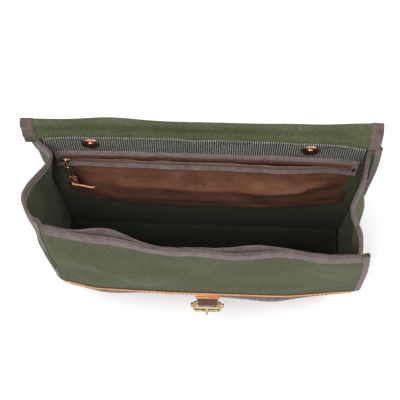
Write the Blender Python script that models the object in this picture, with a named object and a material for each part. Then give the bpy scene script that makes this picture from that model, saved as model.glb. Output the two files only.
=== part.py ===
"""Canvas messenger bag with a leather boot, standing open, its flap thrown back.

Metres. +X is the wearer's right when facing the back wall, +Y is the back, +Z is up.
The origin is the centre of the underside of the base.
"""

from math import cos, pi, radians, sin

import bmesh
import bpy
from mathutils import Vector

# Sheet and trim thicknesses
CANVAS = 0.0015
LEATHER = 0.0020
TAPE = 0.0008
NYLON = 0.0010
GAP = 0.0003
SLOT_GAP = 0.0006
LAYER = CANVAS / 2 + GAP + LEATHER / 2

# Heights
BACK_TOP = 0.258
RIM_TOP = 0.254
GUSSET_TOP = 0.250
BOOT_FRONT_TOP = 0.145
BOOT_BACK_TOP = 0.110
BELLY_HEIGHT = 0.136
PANEL_FOOT = 0.016
GUSSET_FOOT = 0.0056
CORNER_RISE = 0.0105
BOOT_TRIM = 0.0015

# Depths: the back leans a little, and the front swells to a belly above a narrower base
BACK_TOP_Y = 0.054
BACK_BASE_Y = 0.040
RIM_Y = -0.067
BELLY_Y = -0.080
BASE_FRONT_Y = -0.038
BASE_INSET = 0.009
BASE_HALF = 0.162
POCKET_DEPTH = 0.0092
POCKET_SIDE_DEPTH = 0.0056
LEFT_PULL = 0.022
LEFT_PULL_START = 0.020

# Half widths of the corners at the base, at the belly and at the mouth
BACK_LEFT = (0.166, 0.172, 0.178)
BACK_RIGHT = (0.166, 0.172, 0.176)
FRONT_LEFT = (0.160, 0.158, 0.162)
FRONT_RIGHT = (0.162, 0.174, 0.168)
SEAM_FLANGE = 0.008
BINDING_LEG = 0.010
GUSSET_BELLY = 0.006

# Top edges of the gussets: (share of the way from front to back, half width)
LEFT_EDGE = ((0.0, 0.162), (0.38, 0.186), (0.78, 0.166), (1.0, 0.178))
RIGHT_EDGE = ((0.0, 0.168), (0.20, 0.169), (0.45, 0.159), (0.72, 0.172), (1.0, 0.176))

# Band at the top of the back, and the flap
RIDGE_Y = 0.072
RIDGE_Z = 0.2735
FLAP_HALF_WIDTH = 0.190
FLAP_START = 0.004
FLAP_TOP_LENGTH = 0.162
FLAP_FRONT_LENGTH = 0.072
FLAP_LEAN = radians(6)
FOLD_GAP = 0.0030
# How far the side tapes stop short of each end of the two flap panels, so that they clear at the folds
FLAP_TAPE_TRIM = {"flap_top": (0.0050, 0.0020), "flap_front": (0.0020, 0.0015)}
STRAP_WIDTH = 0.0254
STRAP_THICKNESS = 0.0024
STRAP_SEWN = 0.060
STRAP_TAIL = 0.058
STRAP_BEND = radians(58)
STRAP_HOLES = 3
STRAP_HOLE_SPACING = 0.014
STRAP_HOLE_RADIUS = 0.0019

# Inside of the back wall
WEBBING_LOW = 0.225
WEBBING_HIGH = 0.2565
WEBBING_HALF = 0.168
WEBBING = 0.0016
ZIP_HALF = 0.148
ZIP_CENTRE = 0.2085
ZIP_ROW = 0.0022
ZIP_ROW_GAP = 0.0010
ZIP_OUT = 0.0016
TAPE_HIGH = 0.2245
TAPE_LOW = 0.190
POCKET_FOLD = 0.150
POCKET_FOOT = 0.112
POCKET_HALF = 0.146
POCKET_DROOP = 0.011
SLIDER_X = -0.142
SLIDER_LENGTH = 0.011
PULL_PIVOT_DROP = 0.0030
PULL_LEAN = radians(25)
PULL_WIRE = 0.0180
PULL_TAG = 0.0220
RIVET_LEFT_X = -0.121
RIVET_RIGHT_X = 0.117
RIVET_Z = 0.241
RIVET_SHANK = 0.0022
RIVET_WASHER = 0.0092

# Leather ring tabs and D-rings outside the back
RING_ROD = 0.0019
RING_WIDTH = 0.030
RING_DROP = 0.022
RING_TAB_WIDTH = 0.024
RING_Z = 0.222
RING_OUT = 0.0080

# Buckle: a leather tab round the rear bar, then the pin with its sleeves, then the end bar
BUCKLE_X = 0.011
BUCKLE_ROD = 0.0017
BUCKLE_WIDTH = 0.0300
TAB_WIDTH = 0.0240
TAB_TOP = 0.139
REAR_BAR_Z = 0.119
REAR_BAR_OUT = 0.0045
BUCKLE_LEAN = radians(8)
PIN_DROP = 0.0080
END_DROP = 0.0230
SLEEVE_RADIUS = 0.0031
PRONG_WIDTH = 0.0034
PRONG_LENGTH = 0.0290

COLUMNS = 14


def clear_scene():
    for thing in list(bpy.data.objects):
        bpy.data.objects.remove(thing, do_unlink=True)


def material(name, colour, roughness, metallic=0.0):
    made = bpy.data.materials.new(name)
    made.use_nodes = True
    shader = made.node_tree.nodes["Principled BSDF"]
    shader.inputs["Base Color"].default_value = (*colour, 1.0)
    shader.inputs["Roughness"].default_value = roughness
    shader.inputs["Metallic"].default_value = metallic
    return made


def add_object(name, mesh, finish, place=(0, 0, 0), parent=None):
    mesh.materials.append(finish)
    made = bpy.data.objects.new(name, mesh)
    bpy.context.scene.collection.objects.link(made)
    if parent:
        made.parent = parent
    made.location = place
    return made


def add_pivot(name, place, parent=None):
    pivot = bpy.data.objects.new(name, None)
    bpy.context.scene.collection.objects.link(pivot)
    pivot.location = place
    if parent:
        pivot.parent = parent
        pivot.location = Vector(place) - Vector(parent["world"])
    pivot["world"] = tuple(place)
    return pivot


def put_on(pivot, thing):
    """Moves an object modelled in world space onto its pivot, so that its origin is the pivot."""
    offset = Vector(pivot["world"])
    for vertex in thing.data.vertices:
        vertex.co -= offset
    thing.parent = pivot
    return thing


def mix(a, b, t):
    return a + (b - a) * t


def through(t, low, middle, high, knee):
    """The parabola through (0, low), (knee, middle) and (1, high)."""
    return (
        low * (t - knee) * (t - 1) / knee
        + middle * t * (t - 1) / (knee * (knee - 1))
        + high * t * (t - knee) / (1 - knee)
    )


def along(knots, t):
    """A smooth curve through knots of (share, value)."""
    last = len(knots) - 1
    span = max(i for i in range(last) if knots[i][0] <= t or i == 0)
    (t0, a), (t1, b) = knots[span], knots[span + 1]
    slopes = []
    for i in (span, span + 1):
        before, after = knots[max(i - 1, 0)], knots[min(i + 1, last)]
        slopes.append((after[1] - before[1]) / (after[0] - before[0]))
    s = (t - t0) / (t1 - t0)
    rise = t1 - t0
    return (
        a * (2 * s**3 - 3 * s**2 + 1)
        + slopes[0] * rise * (s**3 - 2 * s**2 + s)
        + b * (3 * s**2 - 2 * s**3)
        + slopes[1] * rise * (s**3 - s**2)
    )


def back_y(z):
    return mix(BACK_BASE_Y, BACK_TOP_Y, z / BACK_TOP)


def front_y(z):
    """Middle of the outer front canvas, away from the pulled-back left end of the mouth."""
    if z > BELLY_HEIGHT:
        return mix(BELLY_Y, RIM_Y, ((z - BELLY_HEIGHT) / (RIM_TOP - BELLY_HEIGHT)) ** 1.5)
    return mix(BELLY_Y, BASE_FRONT_Y, ((BELLY_HEIGHT - z) / BELLY_HEIGHT) ** 1.3)


def left_pull(x, z):
    """How far the left end of the mouth is drawn towards the back."""
    reach = max(0.0, (-x - LEFT_PULL_START) / (FRONT_LEFT[2] - LEFT_PULL_START))
    return LEFT_PULL * reach**1.4 * max(0.0, z / RIM_TOP) ** 3


def half_width(widths, z):
    return through(z / BACK_TOP, *widths, BELLY_HEIGHT / BACK_TOP)


def front_point(u, z, behind=0.0, spread=0.0):
    """A point of the front at share u from left to right; behind moves it into the bag."""
    x = mix(-half_width(FRONT_LEFT, z) - spread, half_width(FRONT_RIGHT, z) + spread, u)
    return Vector((x, front_y(z) + left_pull(x, z) + behind, z))


def back_point(u, z, behind=0.0, spread=0.0):
    x = mix(-half_width(BACK_LEFT, z) - spread, half_width(BACK_RIGHT, z) + spread, u)
    return Vector((x, back_y(z) + behind, z))


def gusset_point(side, u, z, inset_front, inset_back):
    """A point of a side wall: side -1 is left, u runs from the front corner to the back corner."""
    fronts, backs = (FRONT_LEFT, BACK_LEFT) if side < 0 else (FRONT_RIGHT, BACK_RIGHT)
    edge = LEFT_EDGE if side < 0 else RIGHT_EDGE
    corner = front_point(0 if side < 0 else 1, z)
    y = mix(corner.y + inset_front, back_y(z) - inset_back, u)
    plain = mix(half_width(fronts, z), half_width(backs, z), u) + GUSSET_BELLY * sin(pi * u)
    mouth = max(0.0, z / GUSSET_TOP) ** 3
    return Vector((side * mix(plain, along(edge, u), mouth), y, z))


def steps(start, end, count):
    return [mix(start, end, i / count) for i in range(count + 1)]


def slab(name, rows, thickness, finish):
    """A closed sheet of even thickness about a grid of points, given row by row."""
    tall, wide = len(rows), len(rows[0])
    faces = [[], []]
    bm = bmesh.new()
    for i in range(tall):
        for j in range(wide):
            across = rows[i][min(j + 1, wide - 1)] - rows[i][max(j - 1, 0)]
            up = rows[min(i + 1, tall - 1)][j] - rows[max(i - 1, 0)][j]
            normal = across.cross(up).normalized() * (thickness / 2)
            faces[0].append(bm.verts.new(rows[i][j] + normal))
            faces[1].append(bm.verts.new(rows[i][j] - normal))
    outline = (
        [j for j in range(wide)]
        + [i * wide + wide - 1 for i in range(1, tall)]
        + [(tall - 1) * wide + j for j in range(wide - 2, -1, -1)]
        + [i * wide for i in range(tall - 2, 0, -1)]
    )
    for i in range(tall - 1):
        for j in range(wide - 1):
            loop = (i * wide + j, i * wide + j + 1, (i + 1) * wide + j + 1, (i + 1) * wide + j)
            bm.faces.new([faces[0][k] for k in loop])
            bm.faces.new([faces[1][k] for k in reversed(loop)])
    for a, b in zip(outline, outline[1:] + outline[:1]):
        bm.faces.new((faces[0][b], faces[0][a], faces[1][a], faces[1][b]))
    return add_object(name, finished_mesh(bm, name), finish)


def finished_mesh(bm, name, smooth=30):
    bmesh.ops.recalc_face_normals(bm, faces=bm.faces)
    mesh = bpy.data.meshes.new(name)
    bm.to_mesh(mesh)
    bm.free()
    mesh.shade_smooth()
    mesh.set_sharp_from_angle(angle=radians(smooth))
    return mesh


def swept(name, stations, finish, closed=False, cap=None):
    """A closed solid through rings of equally many points; cap splits an end into convex faces."""
    bm = bmesh.new()
    rings = [[bm.verts.new(p) for p in ring] for ring in stations]
    count = len(rings[0])
    pairs = list(zip(rings, rings[1:]))
    if closed:
        pairs.append((rings[-1], rings[0]))
    for first, second in pairs:
        for k in range(count):
            n = (k + 1) % count
            bm.faces.new((first[k], first[n], second[n], second[k]))
    if not closed:
        for corners in cap or [range(count)]:
            bm.faces.new([rings[0][k] for k in reversed(corners)])
            bm.faces.new([rings[-1][k] for k in corners])
    bmesh.ops.triangulate(bm, faces=[f for f in bm.faces if len(f.verts) > 4])
    return add_object(name, finished_mesh(bm, name), finish)


def binding(name, path, into, panel=CANVAS, leg=BINDING_LEG):
    """Twill tape folded over an edge: path is the edge of the cloth, into points into it."""
    half = panel / 2 + SLOT_GAP
    stations = []
    for i, point in enumerate(path):
        run = path[min(i + 1, len(path) - 1)] - path[max(i - 1, 0)]
        down = into[i].normalized()
        across = run.cross(down).normalized()
        profile = (
            (-half - TAPE, leg),
            (-half - TAPE, -GAP - TAPE),
            (half + TAPE, -GAP - TAPE),
            (half + TAPE, leg),
            (half, leg - TAPE / 2),
            (half, -GAP),
            (-half, -GAP),
            (-half, leg - TAPE / 2),
        )
        stations.append([point + across * a + down * d for a, d in profile])
    return swept(name, stations, binding_cloth, cap=((0, 1, 6, 7), (1, 2, 5, 6), (2, 3, 4, 5)))


def strip(name, path, thickness, width, centre_x, finish, end_width=None):
    """A strap that runs along a path of (y, z) points and is flat across X."""
    points = [Vector((centre_x, y, z)) for y, z in path]
    end_width = end_width or width
    rows = []
    for i, point in enumerate(points):
        half = mix(width, end_width, i / (len(points) - 1)) / 2
        rows.append([point + Vector((s * half, 0, 0)) for s in (-1, 0, 1)])
    return slab(name, rows, thickness, finish)


def cylinder(name, radius, start, end, finish, sides=20):
    return turned(name, [(radius, 0), (radius, (end - start).length)], start, end - start, finish, sides)


def turned(name, profile, start, direction, finish, sides=20):
    """A solid of revolution: profile is (radius, distance along the axis), start to end."""
    axis = direction.normalized()
    side = axis.orthogonal().normalized()
    other = axis.cross(side)
    stations = []
    for radius, distance in profile:
        ring = []
        for k in range(sides):
            turn = 2 * pi * k / sides
            ring.append(start + axis * distance + (side * cos(turn) + other * sin(turn)) * radius)
        stations.append(ring)
    return swept(name, stations, finish)


def rod_loop(name, corners, radius, bend, finish, sides=8):
    """A closed loop of round rod through corners in one plane, each rounded to bend."""
    centre_line = []
    count = len(corners)
    for i, corner in enumerate(corners):
        before = (corners[i - 1] - corner).normalized()
        after = (corners[(i + 1) % count] - corner).normalized()
        first, last = corner + before * bend, corner + after * bend
        for t in (0.0, 0.35, 0.65, 1.0):
            centre_line.append(first * (1 - t) ** 2 + corner * 2 * t * (1 - t) + last * t**2)
    normal = (corners[1] - corners[0]).cross(corners[2] - corners[1]).normalized()
    stations = []
    total = len(centre_line)
    for i, point in enumerate(centre_line):
        run = (centre_line[(i + 1) % total] - centre_line[i - 1]).normalized()
        across = run.cross(normal).normalized()
        ring = []
        for k in range(sides):
            turn = 2 * pi * k / sides
            ring.append(point + (across * cos(turn) + normal * sin(turn)) * radius)
        stations.append(ring)
    return swept(name, stations, finish, closed=True)


def cut(target, cutter):
    """Takes the cutter's shape out of the target."""
    cutter.hide_render = True
    cutter.display_type = "WIRE"
    hole = target.modifiers.new("cut_" + cutter.name, "BOOLEAN")
    hole.operation = "DIFFERENCE"
    hole.object = cutter
    hole.solver = "EXACT"


def join(target, other):
    """Fuses the other object's shape into the target."""
    other.hide_render = True
    other.display_type = "WIRE"
    weld = target.modifiers.new("join_" + other.name, "BOOLEAN")
    weld.operation = "UNION"
    weld.object = other
    weld.solver = "EXACT"


clear_scene()
canvas = material("waxed_canvas", (0.115, 0.135, 0.085), 0.85)
binding_cloth = material("binding_twill", (0.16, 0.11, 0.10), 0.90)
leather = material("brown_leather", (0.075, 0.030, 0.020), 0.50)
webbing = material("grey_webbing", (0.06, 0.06, 0.055), 0.90)
zip_cloth = material("zip_tape", (0.20, 0.14, 0.13), 0.90)
zip_coil = material("zip_coil", (0.22, 0.12, 0.09), 0.50)
nylon = material("pocket_nylon", (0.11, 0.06, 0.04), 0.60)
copper = material("copper", (0.60, 0.28, 0.16), 0.35, 1.0)
brass = material("brass", (0.62, 0.50, 0.26), 0.30, 1.0)
cord_leather = material("tan_leather", (0.60, 0.32, 0.18), 0.60)


# ---- canvas shell -------------------------------------------------------------------------


def boot_section():
    """(y, z) down the front, under the base and up the back, for the middle of the leather."""
    front = [(front_y(z) - LAYER, z) for z in steps(BOOT_FRONT_TOP, CORNER_RISE, 6)]
    bottom = LEATHER / 2
    turn_front = [(front[-1][0] + 0.0032, 0.0036)]
    base = [(y, bottom) for y in steps(BASE_FRONT_Y + BASE_INSET, BACK_BASE_Y - BASE_INSET, 3)]
    turn_back = [(back_y(CORNER_RISE) + LAYER - 0.0032, 0.0036)]
    back = [(back_y(z) + LAYER, z) for z in steps(CORNER_RISE, BOOT_BACK_TOP, 4)]
    return front + turn_front + base + turn_back + back


def make_boot():
    section = boot_section()
    rows = []
    for i, (y, z) in enumerate(section):
        share = i / (len(section) - 1)
        left = mix(half_width(FRONT_LEFT, z), half_width(BACK_LEFT, z), share) - BOOT_TRIM
        right = mix(half_width(FRONT_RIGHT, z), half_width(BACK_RIGHT, z), share) - BOOT_TRIM
        rows.append([Vector((x, y, z)) for x in steps(-left, right, COLUMNS)])
        for point in rows[-1]:
            point.y += left_pull(point.x, z) * (share < 0.5)
    slab("leather_boot", rows, LEATHER, leather)


def pocket_gap(u):
    """Room between the two front panels, widest in the middle of the mouth."""
    return mix(POCKET_SIDE_DEPTH, POCKET_DEPTH, min(1.0, 2.2 * max(0.0, sin(pi * u)) ** 0.8))


def with_flanges(point, z, shares):
    """A row of points with a seam flange beyond each corner."""
    row = [point(u, z) for u in shares]
    return [point(0, z, 0, SEAM_FLANGE)] + row + [point(1, z, 0, SEAM_FLANGE)]


def make_shell():
    shares = steps(0, 1, COLUMNS)
    heights = steps(PANEL_FOOT, RIM_TOP, 9)
    outer = [with_flanges(front_point, z, shares) for z in heights]
    slab("front_pocket_panel", outer, CANVAS, canvas)
    inner = [[front_point(u, z, pocket_gap(u), -0.004) for u in shares] for z in heights]
    slab("front_panel", inner, CANVAS, canvas)
    wall = [with_flanges(back_point, z, shares) for z in steps(PANEL_FOOT, BACK_TOP, 6)]
    edge_bindings("front_seam_binding", outer)
    edge_bindings("back_seam_binding", wall)
    rim_binding("pocket_rim_binding", outer, 1)
    rim_binding("front_rim_binding", inner, 0)
    for share, rise in ((0.32, 0.44), (0.62, 0.72), (0.84, 0.87)):
        row = []
        for point in with_flanges(back_point, BACK_TOP, shares):
            row.append(Vector((point.x, mix(point.y, RIDGE_Y, share), mix(BACK_TOP, RIDGE_Z, rise))))
        wall.append(row)
    slab("back_panel", wall, CANVAS, canvas)
    low = LEATHER + GAP + CANVAS / 2
    base = []
    for y in steps(BASE_FRONT_Y + BASE_INSET, BACK_BASE_Y - BASE_INSET, 4):
        base.append([Vector((x, y, low)) for x in steps(-BASE_HALF, BASE_HALF, 8)])
    slab("base_panel", base, CANVAS, canvas)


def edge_bindings(name, grid):
    """Tape along the left and right edges of a grid of points."""
    for word, edge, inner in (("left", 0, 1), ("right", -1, -2)):
        path = [row[edge] for row in grid]
        into = [row[inner] - row[edge] for row in grid]
        binding(f"{name}_{word}", path, into, leg=SEAM_FLANGE - 0.001)


def rim_binding(name, grid, trim, leg=BINDING_LEG):
    """Tape along the top edge of a grid of points, short of its end columns by trim."""
    span = range(trim, len(grid[-1]) - trim)
    path = [grid[-1][j] for j in span]
    binding(name, path, [grid[-2][j] - grid[-1][j] for j in span], leg=leg)


def make_gussets():
    inset = CANVAS / 2 + TAPE + 2 * GAP + CANVAS
    for side, word in ((-1, "left"), (1, "right")):
        rows = []
        for z in steps(GUSSET_FOOT, GUSSET_TOP, 9):
            rows.append([gusset_point(side, u, z, inset, inset) for u in steps(0, 1, COLUMNS)])
        slab(f"gusset_{word}", rows, CANVAS, canvas)
        rim_binding(f"gusset_binding_{word}", rows, 1)


# ---- inside of the back wall ---------------------------------------------------------------


def wall_offset(z, out):
    """Y of something that stands out from the inner face of the back wall."""
    return back_y(z) - CANVAS / 2 - GAP - out


def wall_slab(name, low, high, half, thickness, out, finish, rows=2):
    grid = []
    for z in steps(low, high, rows):
        y = wall_offset(z, out + thickness / 2)
        grid.append([Vector((x, y, z)) for x in steps(-half, half, COLUMNS)])
    return slab(name, grid, thickness, finish)


def make_webbing():
    return wall_slab("webbing_strip", WEBBING_LOW, WEBBING_HIGH, WEBBING_HALF, WEBBING, 0, webbing)


def make_zip():
    upper_row = ZIP_CENTRE + ZIP_ROW_GAP / 2
    lower_row = ZIP_CENTRE - ZIP_ROW_GAP / 2 - ZIP_ROW
    wall_slab("zip_tape_upper", upper_row, TAPE_HIGH, ZIP_HALF, TAPE, ZIP_OUT, zip_cloth)
    wall_slab("zip_tape_lower", TAPE_LOW, lower_row + ZIP_ROW, ZIP_HALF, TAPE, ZIP_OUT, zip_cloth)
    for name, low in (("zip_teeth_upper", upper_row), ("zip_teeth_lower", lower_row)):
        wall_slab(name, low, low + ZIP_ROW, ZIP_HALF, ZIP_ROW, ZIP_OUT + TAPE + GAP, zip_coil, rows=1)
    for side, word in ((-1, "left"), (1, "right")):
        stop_rows = []
        for z in (lower_row - 0.0012, upper_row + ZIP_ROW + 0.0012):
            y = wall_offset(z, ZIP_OUT + TAPE + GAP + 0.0014)
            stop_rows.append([Vector((side * x, y, z)) for x in (ZIP_HALF + GAP, ZIP_HALF + 0.0035)])
        slab(f"zip_stop_{word}", stop_rows, 0.0020, copper)


def make_slider():
    """A plate that rides over both rows of teeth, with a hanging leather pull on it."""
    back = ZIP_OUT + TAPE + GAP
    depth = ZIP_ROW + 2 * GAP
    wall, half_height = 0.0014, 0.0044
    corners = (
        (-half_height, depth), (half_height, depth),
        (half_height, depth + wall), (-half_height, depth + wall),
    )
    stations = [
        [Vector((x, wall_offset(ZIP_CENTRE, back + out), ZIP_CENTRE + rise)) for rise, out in corners]
        for x in (SLIDER_X - SLIDER_LENGTH / 2, SLIDER_X + SLIDER_LENGTH / 2)
    ]
    swept("zip_slider", stations, copper)
    face = wall_offset(ZIP_CENTRE, back + depth + wall)
    root = Vector((SLIDER_X, face - 0.0014, ZIP_CENTRE - PULL_PIVOT_DROP))
    down = Vector((0, -sin(PULL_LEAN), -cos(PULL_LEAN)))
    out = Vector((0, -cos(PULL_LEAN), sin(PULL_LEAN)))

    def hanging(x, fall, forward=0.0):
        return root + Vector((x, 0, 0)) + down * fall + out * forward

    pivot = add_pivot("pull_pivot", root)
    wire_half = 0.0030
    wire = rod_loop(
        "zip_pull_wire",
        [hanging(-wire_half, 0), hanging(wire_half, 0), hanging(wire_half, PULL_WIRE),
         hanging(-wire_half, PULL_WIRE)],
        0.0007, 0.0016, copper, sides=6,
    )
    layer, eye = 0.0014, 0.0018
    rows = []
    fall_out = [(PULL_WIRE + PULL_TAG, eye), (PULL_WIRE + PULL_TAG * 0.25, eye), (PULL_WIRE, eye)]
    fall_out += [(PULL_WIRE - eye * sin(t), eye * cos(t)) for t in steps(0, pi, 4)[1:-1]]
    fall_out += [(PULL_WIRE, -eye), (PULL_WIRE + PULL_TAG * 0.25, -eye), (PULL_WIRE + PULL_TAG * 0.7, -eye)]
    for fall, forward in fall_out:
        half = 0.0048 if fall > PULL_WIRE + 0.001 else 0.0017
        rows.append([hanging(a, fall, forward) for a in (-half, 0, half)])
    tag = slab("zip_pull_leather", rows, layer, leather)
    lace_start = PULL_WIRE + PULL_TAG * 0.75
    lace = rod_loop(
        "zip_pull_lace",
        [hanging(x, lace_start + fall, eye + layer / 2 + 0.0012) for x, fall in
         ((-0.002, -0.0015), (0.0230, 0.0035), (0.0230, 0.0065), (-0.002, 0.0015))],
        0.0007, 0.0010, cord_leather, sides=6,
    )
    for thing in (wire, tag, lace):
        put_on(pivot, thing)


def make_pocket():
    """The hanging pocket: out from the tape, over its drooping fold and back to the wall."""
    grid = []
    droop_top = TAPE_LOW - 0.002
    for z in steps(POCKET_FOOT, TAPE_LOW + 0.006, 10):
        if z > POCKET_FOLD:
            share = max(0.0, 1 - ((z - POCKET_FOLD) / (droop_top - POCKET_FOLD)) ** 2)
        else:
            share = ((z - POCKET_FOOT) / (POCKET_FOLD - POCKET_FOOT)) ** 0.7
        row = []
        for x in steps(-POCKET_HALF, POCKET_HALF, COLUMNS):
            side = max(0.0, 1 - (abs(x) / POCKET_HALF) ** 4)
            row.append(Vector((x, wall_offset(z, POCKET_DROOP * share * side + NYLON / 2), z)))
        grid.append(row)
    slab("zip_pocket_bag", grid, NYLON, nylon)


# ---- rivets, ring tabs and rings ------------------------------------------------------------


def make_ring_tab(word, x):
    """Leather folded down over a ring's straight bar, riveted through the back wall."""
    first = CANVAS / 2 + GAP + LEATHER / 2
    second = first + LEATHER + GAP
    high, low = RIVET_Z + 0.012, RIVET_Z - 0.004
    bar_y = back_y(RING_Z) + RING_OUT
    eye = RING_ROD + GAP + LEATHER / 2
    path = [(back_y(high) + first, high), (back_y(low) + first, low)]
    for turn in steps(-0.80 * pi, 0.80 * pi, 8):
        path.append((bar_y + eye * sin(turn), RING_Z - eye * cos(turn)))
    path += [(back_y(low) + second, low), (back_y(high) + second, high)]
    return strip(f"ring_tab_{word}", path, LEATHER, RING_TAB_WIDTH, x, leather)


def make_ring(word, x):
    bar_y = back_y(RING_Z) + RING_OUT
    half = RING_WIDTH / 2
    pivot = add_pivot(f"ring_pivot_{word}", (x, bar_y, RING_Z))
    corners = [
        Vector((x + a, bar_y, RING_Z - b))
        for a, b in ((-half, 0), (half, 0), (half, RING_DROP * 0.6), (half * 0.45, RING_DROP),
                     (-half * 0.45, RING_DROP), (-half, RING_DROP * 0.6))
    ]
    put_on(pivot, rod_loop(f"d_ring_{word}", corners, RING_ROD, 0.004, brass))


def make_rivet(word, x, pierced):
    """A dished washer and stud inside, a shank through every layer, a flat head outside."""
    through_wall = Vector((0, 1, (BACK_BASE_Y - BACK_TOP_Y) / BACK_TOP)).normalized()
    length = WEBBING + CANVAS + 2 * LEATHER + 8 * GAP
    profile = [
        (0.0012, -0.0034), (0.0024, -0.0028), (0.0027, -0.0016), (0.0040, -0.0012), (RIVET_WASHER - 0.0012, -0.0021),
        (RIVET_WASHER, -0.0014), (RIVET_WASHER, 0.0), (RIVET_SHANK, 0.0), (RIVET_SHANK, length),
        (0.0050, length), (0.0046, length + 0.0012), (0.0020, length + 0.0018),
    ]
    start = Vector((x, wall_offset(RIVET_Z, WEBBING + GAP), RIVET_Z))
    turned(f"rivet_{word}", profile, start, through_wall, copper)
    for layer in pierced:
        hole = cylinder(
            f"bore_{word}_{layer.name}", RIVET_SHANK + GAP,
            start - through_wall * 0.010, start + through_wall * 0.030, copper, sides=16,
        )
        cut(layer, hole)


# ---- buckle ---------------------------------------------------------------------------------


def make_buckle():
    tab_face = front_y(REAR_BAR_Z) - LAYER - LEATHER / 2
    bar = Vector((BUCKLE_X, tab_face - REAR_BAR_OUT, REAR_BAR_Z))
    down = Vector((0, -sin(BUCKLE_LEAN), -cos(BUCKLE_LEAN)))
    eye = BUCKLE_ROD + GAP + LEATHER / 2
    low, high = TAB_TOP - 0.012, TAB_TOP
    inner_low = front_y(low) - LAYER - LEATHER - GAP
    inner_high = front_y(high) - LAYER - LEATHER - GAP
    path = [(inner_high, high), (inner_low, low)]
    for turn in steps(-0.75 * pi, 0.75 * pi, 8):
        path.append((bar.y - eye * sin(turn), bar.z - eye * cos(turn)))
    path += [(inner_low - LEATHER - GAP, low), (inner_high - LEATHER - GAP, high)]
    strip("buckle_tab", path, LEATHER, TAB_WIDTH, BUCKLE_X, leather)
    pivot = add_pivot("buckle_pivot", bar)
    half = BUCKLE_WIDTH / 2
    side = Vector((1, 0, 0))
    frame = rod_loop(
        "buckle_frame",
        [bar - side * half, bar + side * half, bar + side * half + down * END_DROP,
         bar - side * half + down * END_DROP],
        BUCKLE_ROD, 0.0035, brass,
    )
    pin_centre = bar + down * PIN_DROP
    pin = cylinder(
        "buckle_pin", BUCKLE_ROD * 0.8, pin_centre - side * (half + 0.0030),
        pin_centre + side * (half + 0.0030), brass, sides=12,
    )
    for word, reach in (("left", -1), ("right", 1)):
        knob = turned(
            f"buckle_knob_{word}", [(0.0012, -0.0024), (0.0026, -0.0014), (0.0026, 0.0014), (0.0012, 0.0024)],
            pin_centre + side * reach * (half + 0.0022), side, brass, sides=12,
        )
        join(frame, put_on(pivot, knob))
    join(frame, put_on(pivot, pin))
    put_on(pivot, frame)
    eye_half = PRONG_WIDTH / 2
    inner_radius = BUCKLE_ROD * 0.8 + GAP
    for word, reach in (("left", -1), ("right", 1)):
        start = pin_centre + side * reach * (eye_half + GAP)
        end = pin_centre + side * reach * (half - BUCKLE_ROD - GAP)
        put_on(pivot, ring_of(f"buckle_sleeve_{word}", inner_radius, SLEEVE_RADIUS, start, end))
    prong_pivot = add_pivot("prong_pivot", pin_centre, pivot)
    prong = ring_of("buckle_prong", inner_radius, SLEEVE_RADIUS, pin_centre - side * eye_half, pin_centre + side * eye_half)
    over = END_DROP - PIN_DROP
    lift = BUCKLE_ROD + PRONG_WIDTH * 0.35 + GAP
    outwards = Vector((0, -cos(BUCKLE_LEAN), sin(BUCKLE_LEAN)))
    shank_path = (
        (0.0024, 0.0), (over * 0.55, lift * 0.8), (over, lift + 0.0002), (PRONG_LENGTH - PIN_DROP, lift + 0.0002),
    )
    stations = []
    for i, (fall, out) in enumerate(shank_path):
        centre = pin_centre + down * fall + outwards * out
        wide = eye_half * (0.85 if i < 3 else 0.45)
        thick = PRONG_WIDTH * 0.30
        stations.append([
            centre + side * a + outwards * b
            for a, b in ((-wide, -thick), (wide, -thick), (wide, thick), (-wide, thick))
        ])
    shank = swept("prong_shank", stations, brass)
    put_on(prong_pivot, prong)
    join(prong, put_on(prong_pivot, shank))


def ring_of(name, inner, outer, start, end, sides=16):
    """A tube from start to end."""
    axis = (end - start).normalized()
    first = axis.orthogonal().normalized()
    second = axis.cross(first)
    stations = []
    for k in range(sides):
        turn = 2 * pi * k / sides
        ray = first * cos(turn) + second * sin(turn)
        stations.append([start + ray * inner, start + ray * outer, end + ray * outer, end + ray * inner])
    return swept(name, stations, brass, closed=True)


# ---- flap -----------------------------------------------------------------------------------


def flap_point(x, distance, out=0.0):
    """A point of the hanging flap at a distance down from the ridge; out is away from the bag."""
    down = Vector((0, sin(FLAP_LEAN), -cos(FLAP_LEAN)))
    away = Vector((0, cos(FLAP_LEAN), sin(FLAP_LEAN)))
    return Vector((x, RIDGE_Y, RIDGE_Z)) + down * distance + away * out


def make_flap():
    hinge = add_pivot("flap_pivot", (0, RIDGE_Y, RIDGE_Z))
    fold_at = FLAP_START + FLAP_TOP_LENGTH
    fold = add_pivot("fold_pivot", flap_point(0, fold_at), hinge)
    foot_at = fold_at + FLAP_FRONT_LENGTH
    half = FLAP_HALF_WIDTH
    top_end, front_start = fold_at - FOLD_GAP / 2, fold_at + FOLD_GAP / 2
    inwards = -flap_point(0, 1) + flap_point(0, 0)
    for name, start, end, pivot in (
        ("flap_top", FLAP_START, top_end, hinge),
        ("flap_front", front_start, foot_at, fold),
    ):
        rows = [[flap_point(x, d) for x in steps(-half, half, COLUMNS)] for d in steps(start, end, 4)]
        put_on(pivot, slab(name, rows, CANVAS, canvas))
        for side, word in ((-1, "left"), (1, "right")):
            low = end - FLAP_TAPE_TRIM[name][1]
            path = [flap_point(side * half, d) for d in steps(start + FLAP_TAPE_TRIM[name][0], low, 1)]
            into = [Vector((-side, 0, 0))] * len(path)
            put_on(pivot, binding(f"{name}_binding_{word}", path, into))
    path = [flap_point(x, foot_at) for x in steps(-half + 0.0115, half - 0.0115, 10)]
    put_on(fold, binding("flap_edge_binding", path, [inwards] * len(path)))
    make_strap(fold, foot_at)


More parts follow.
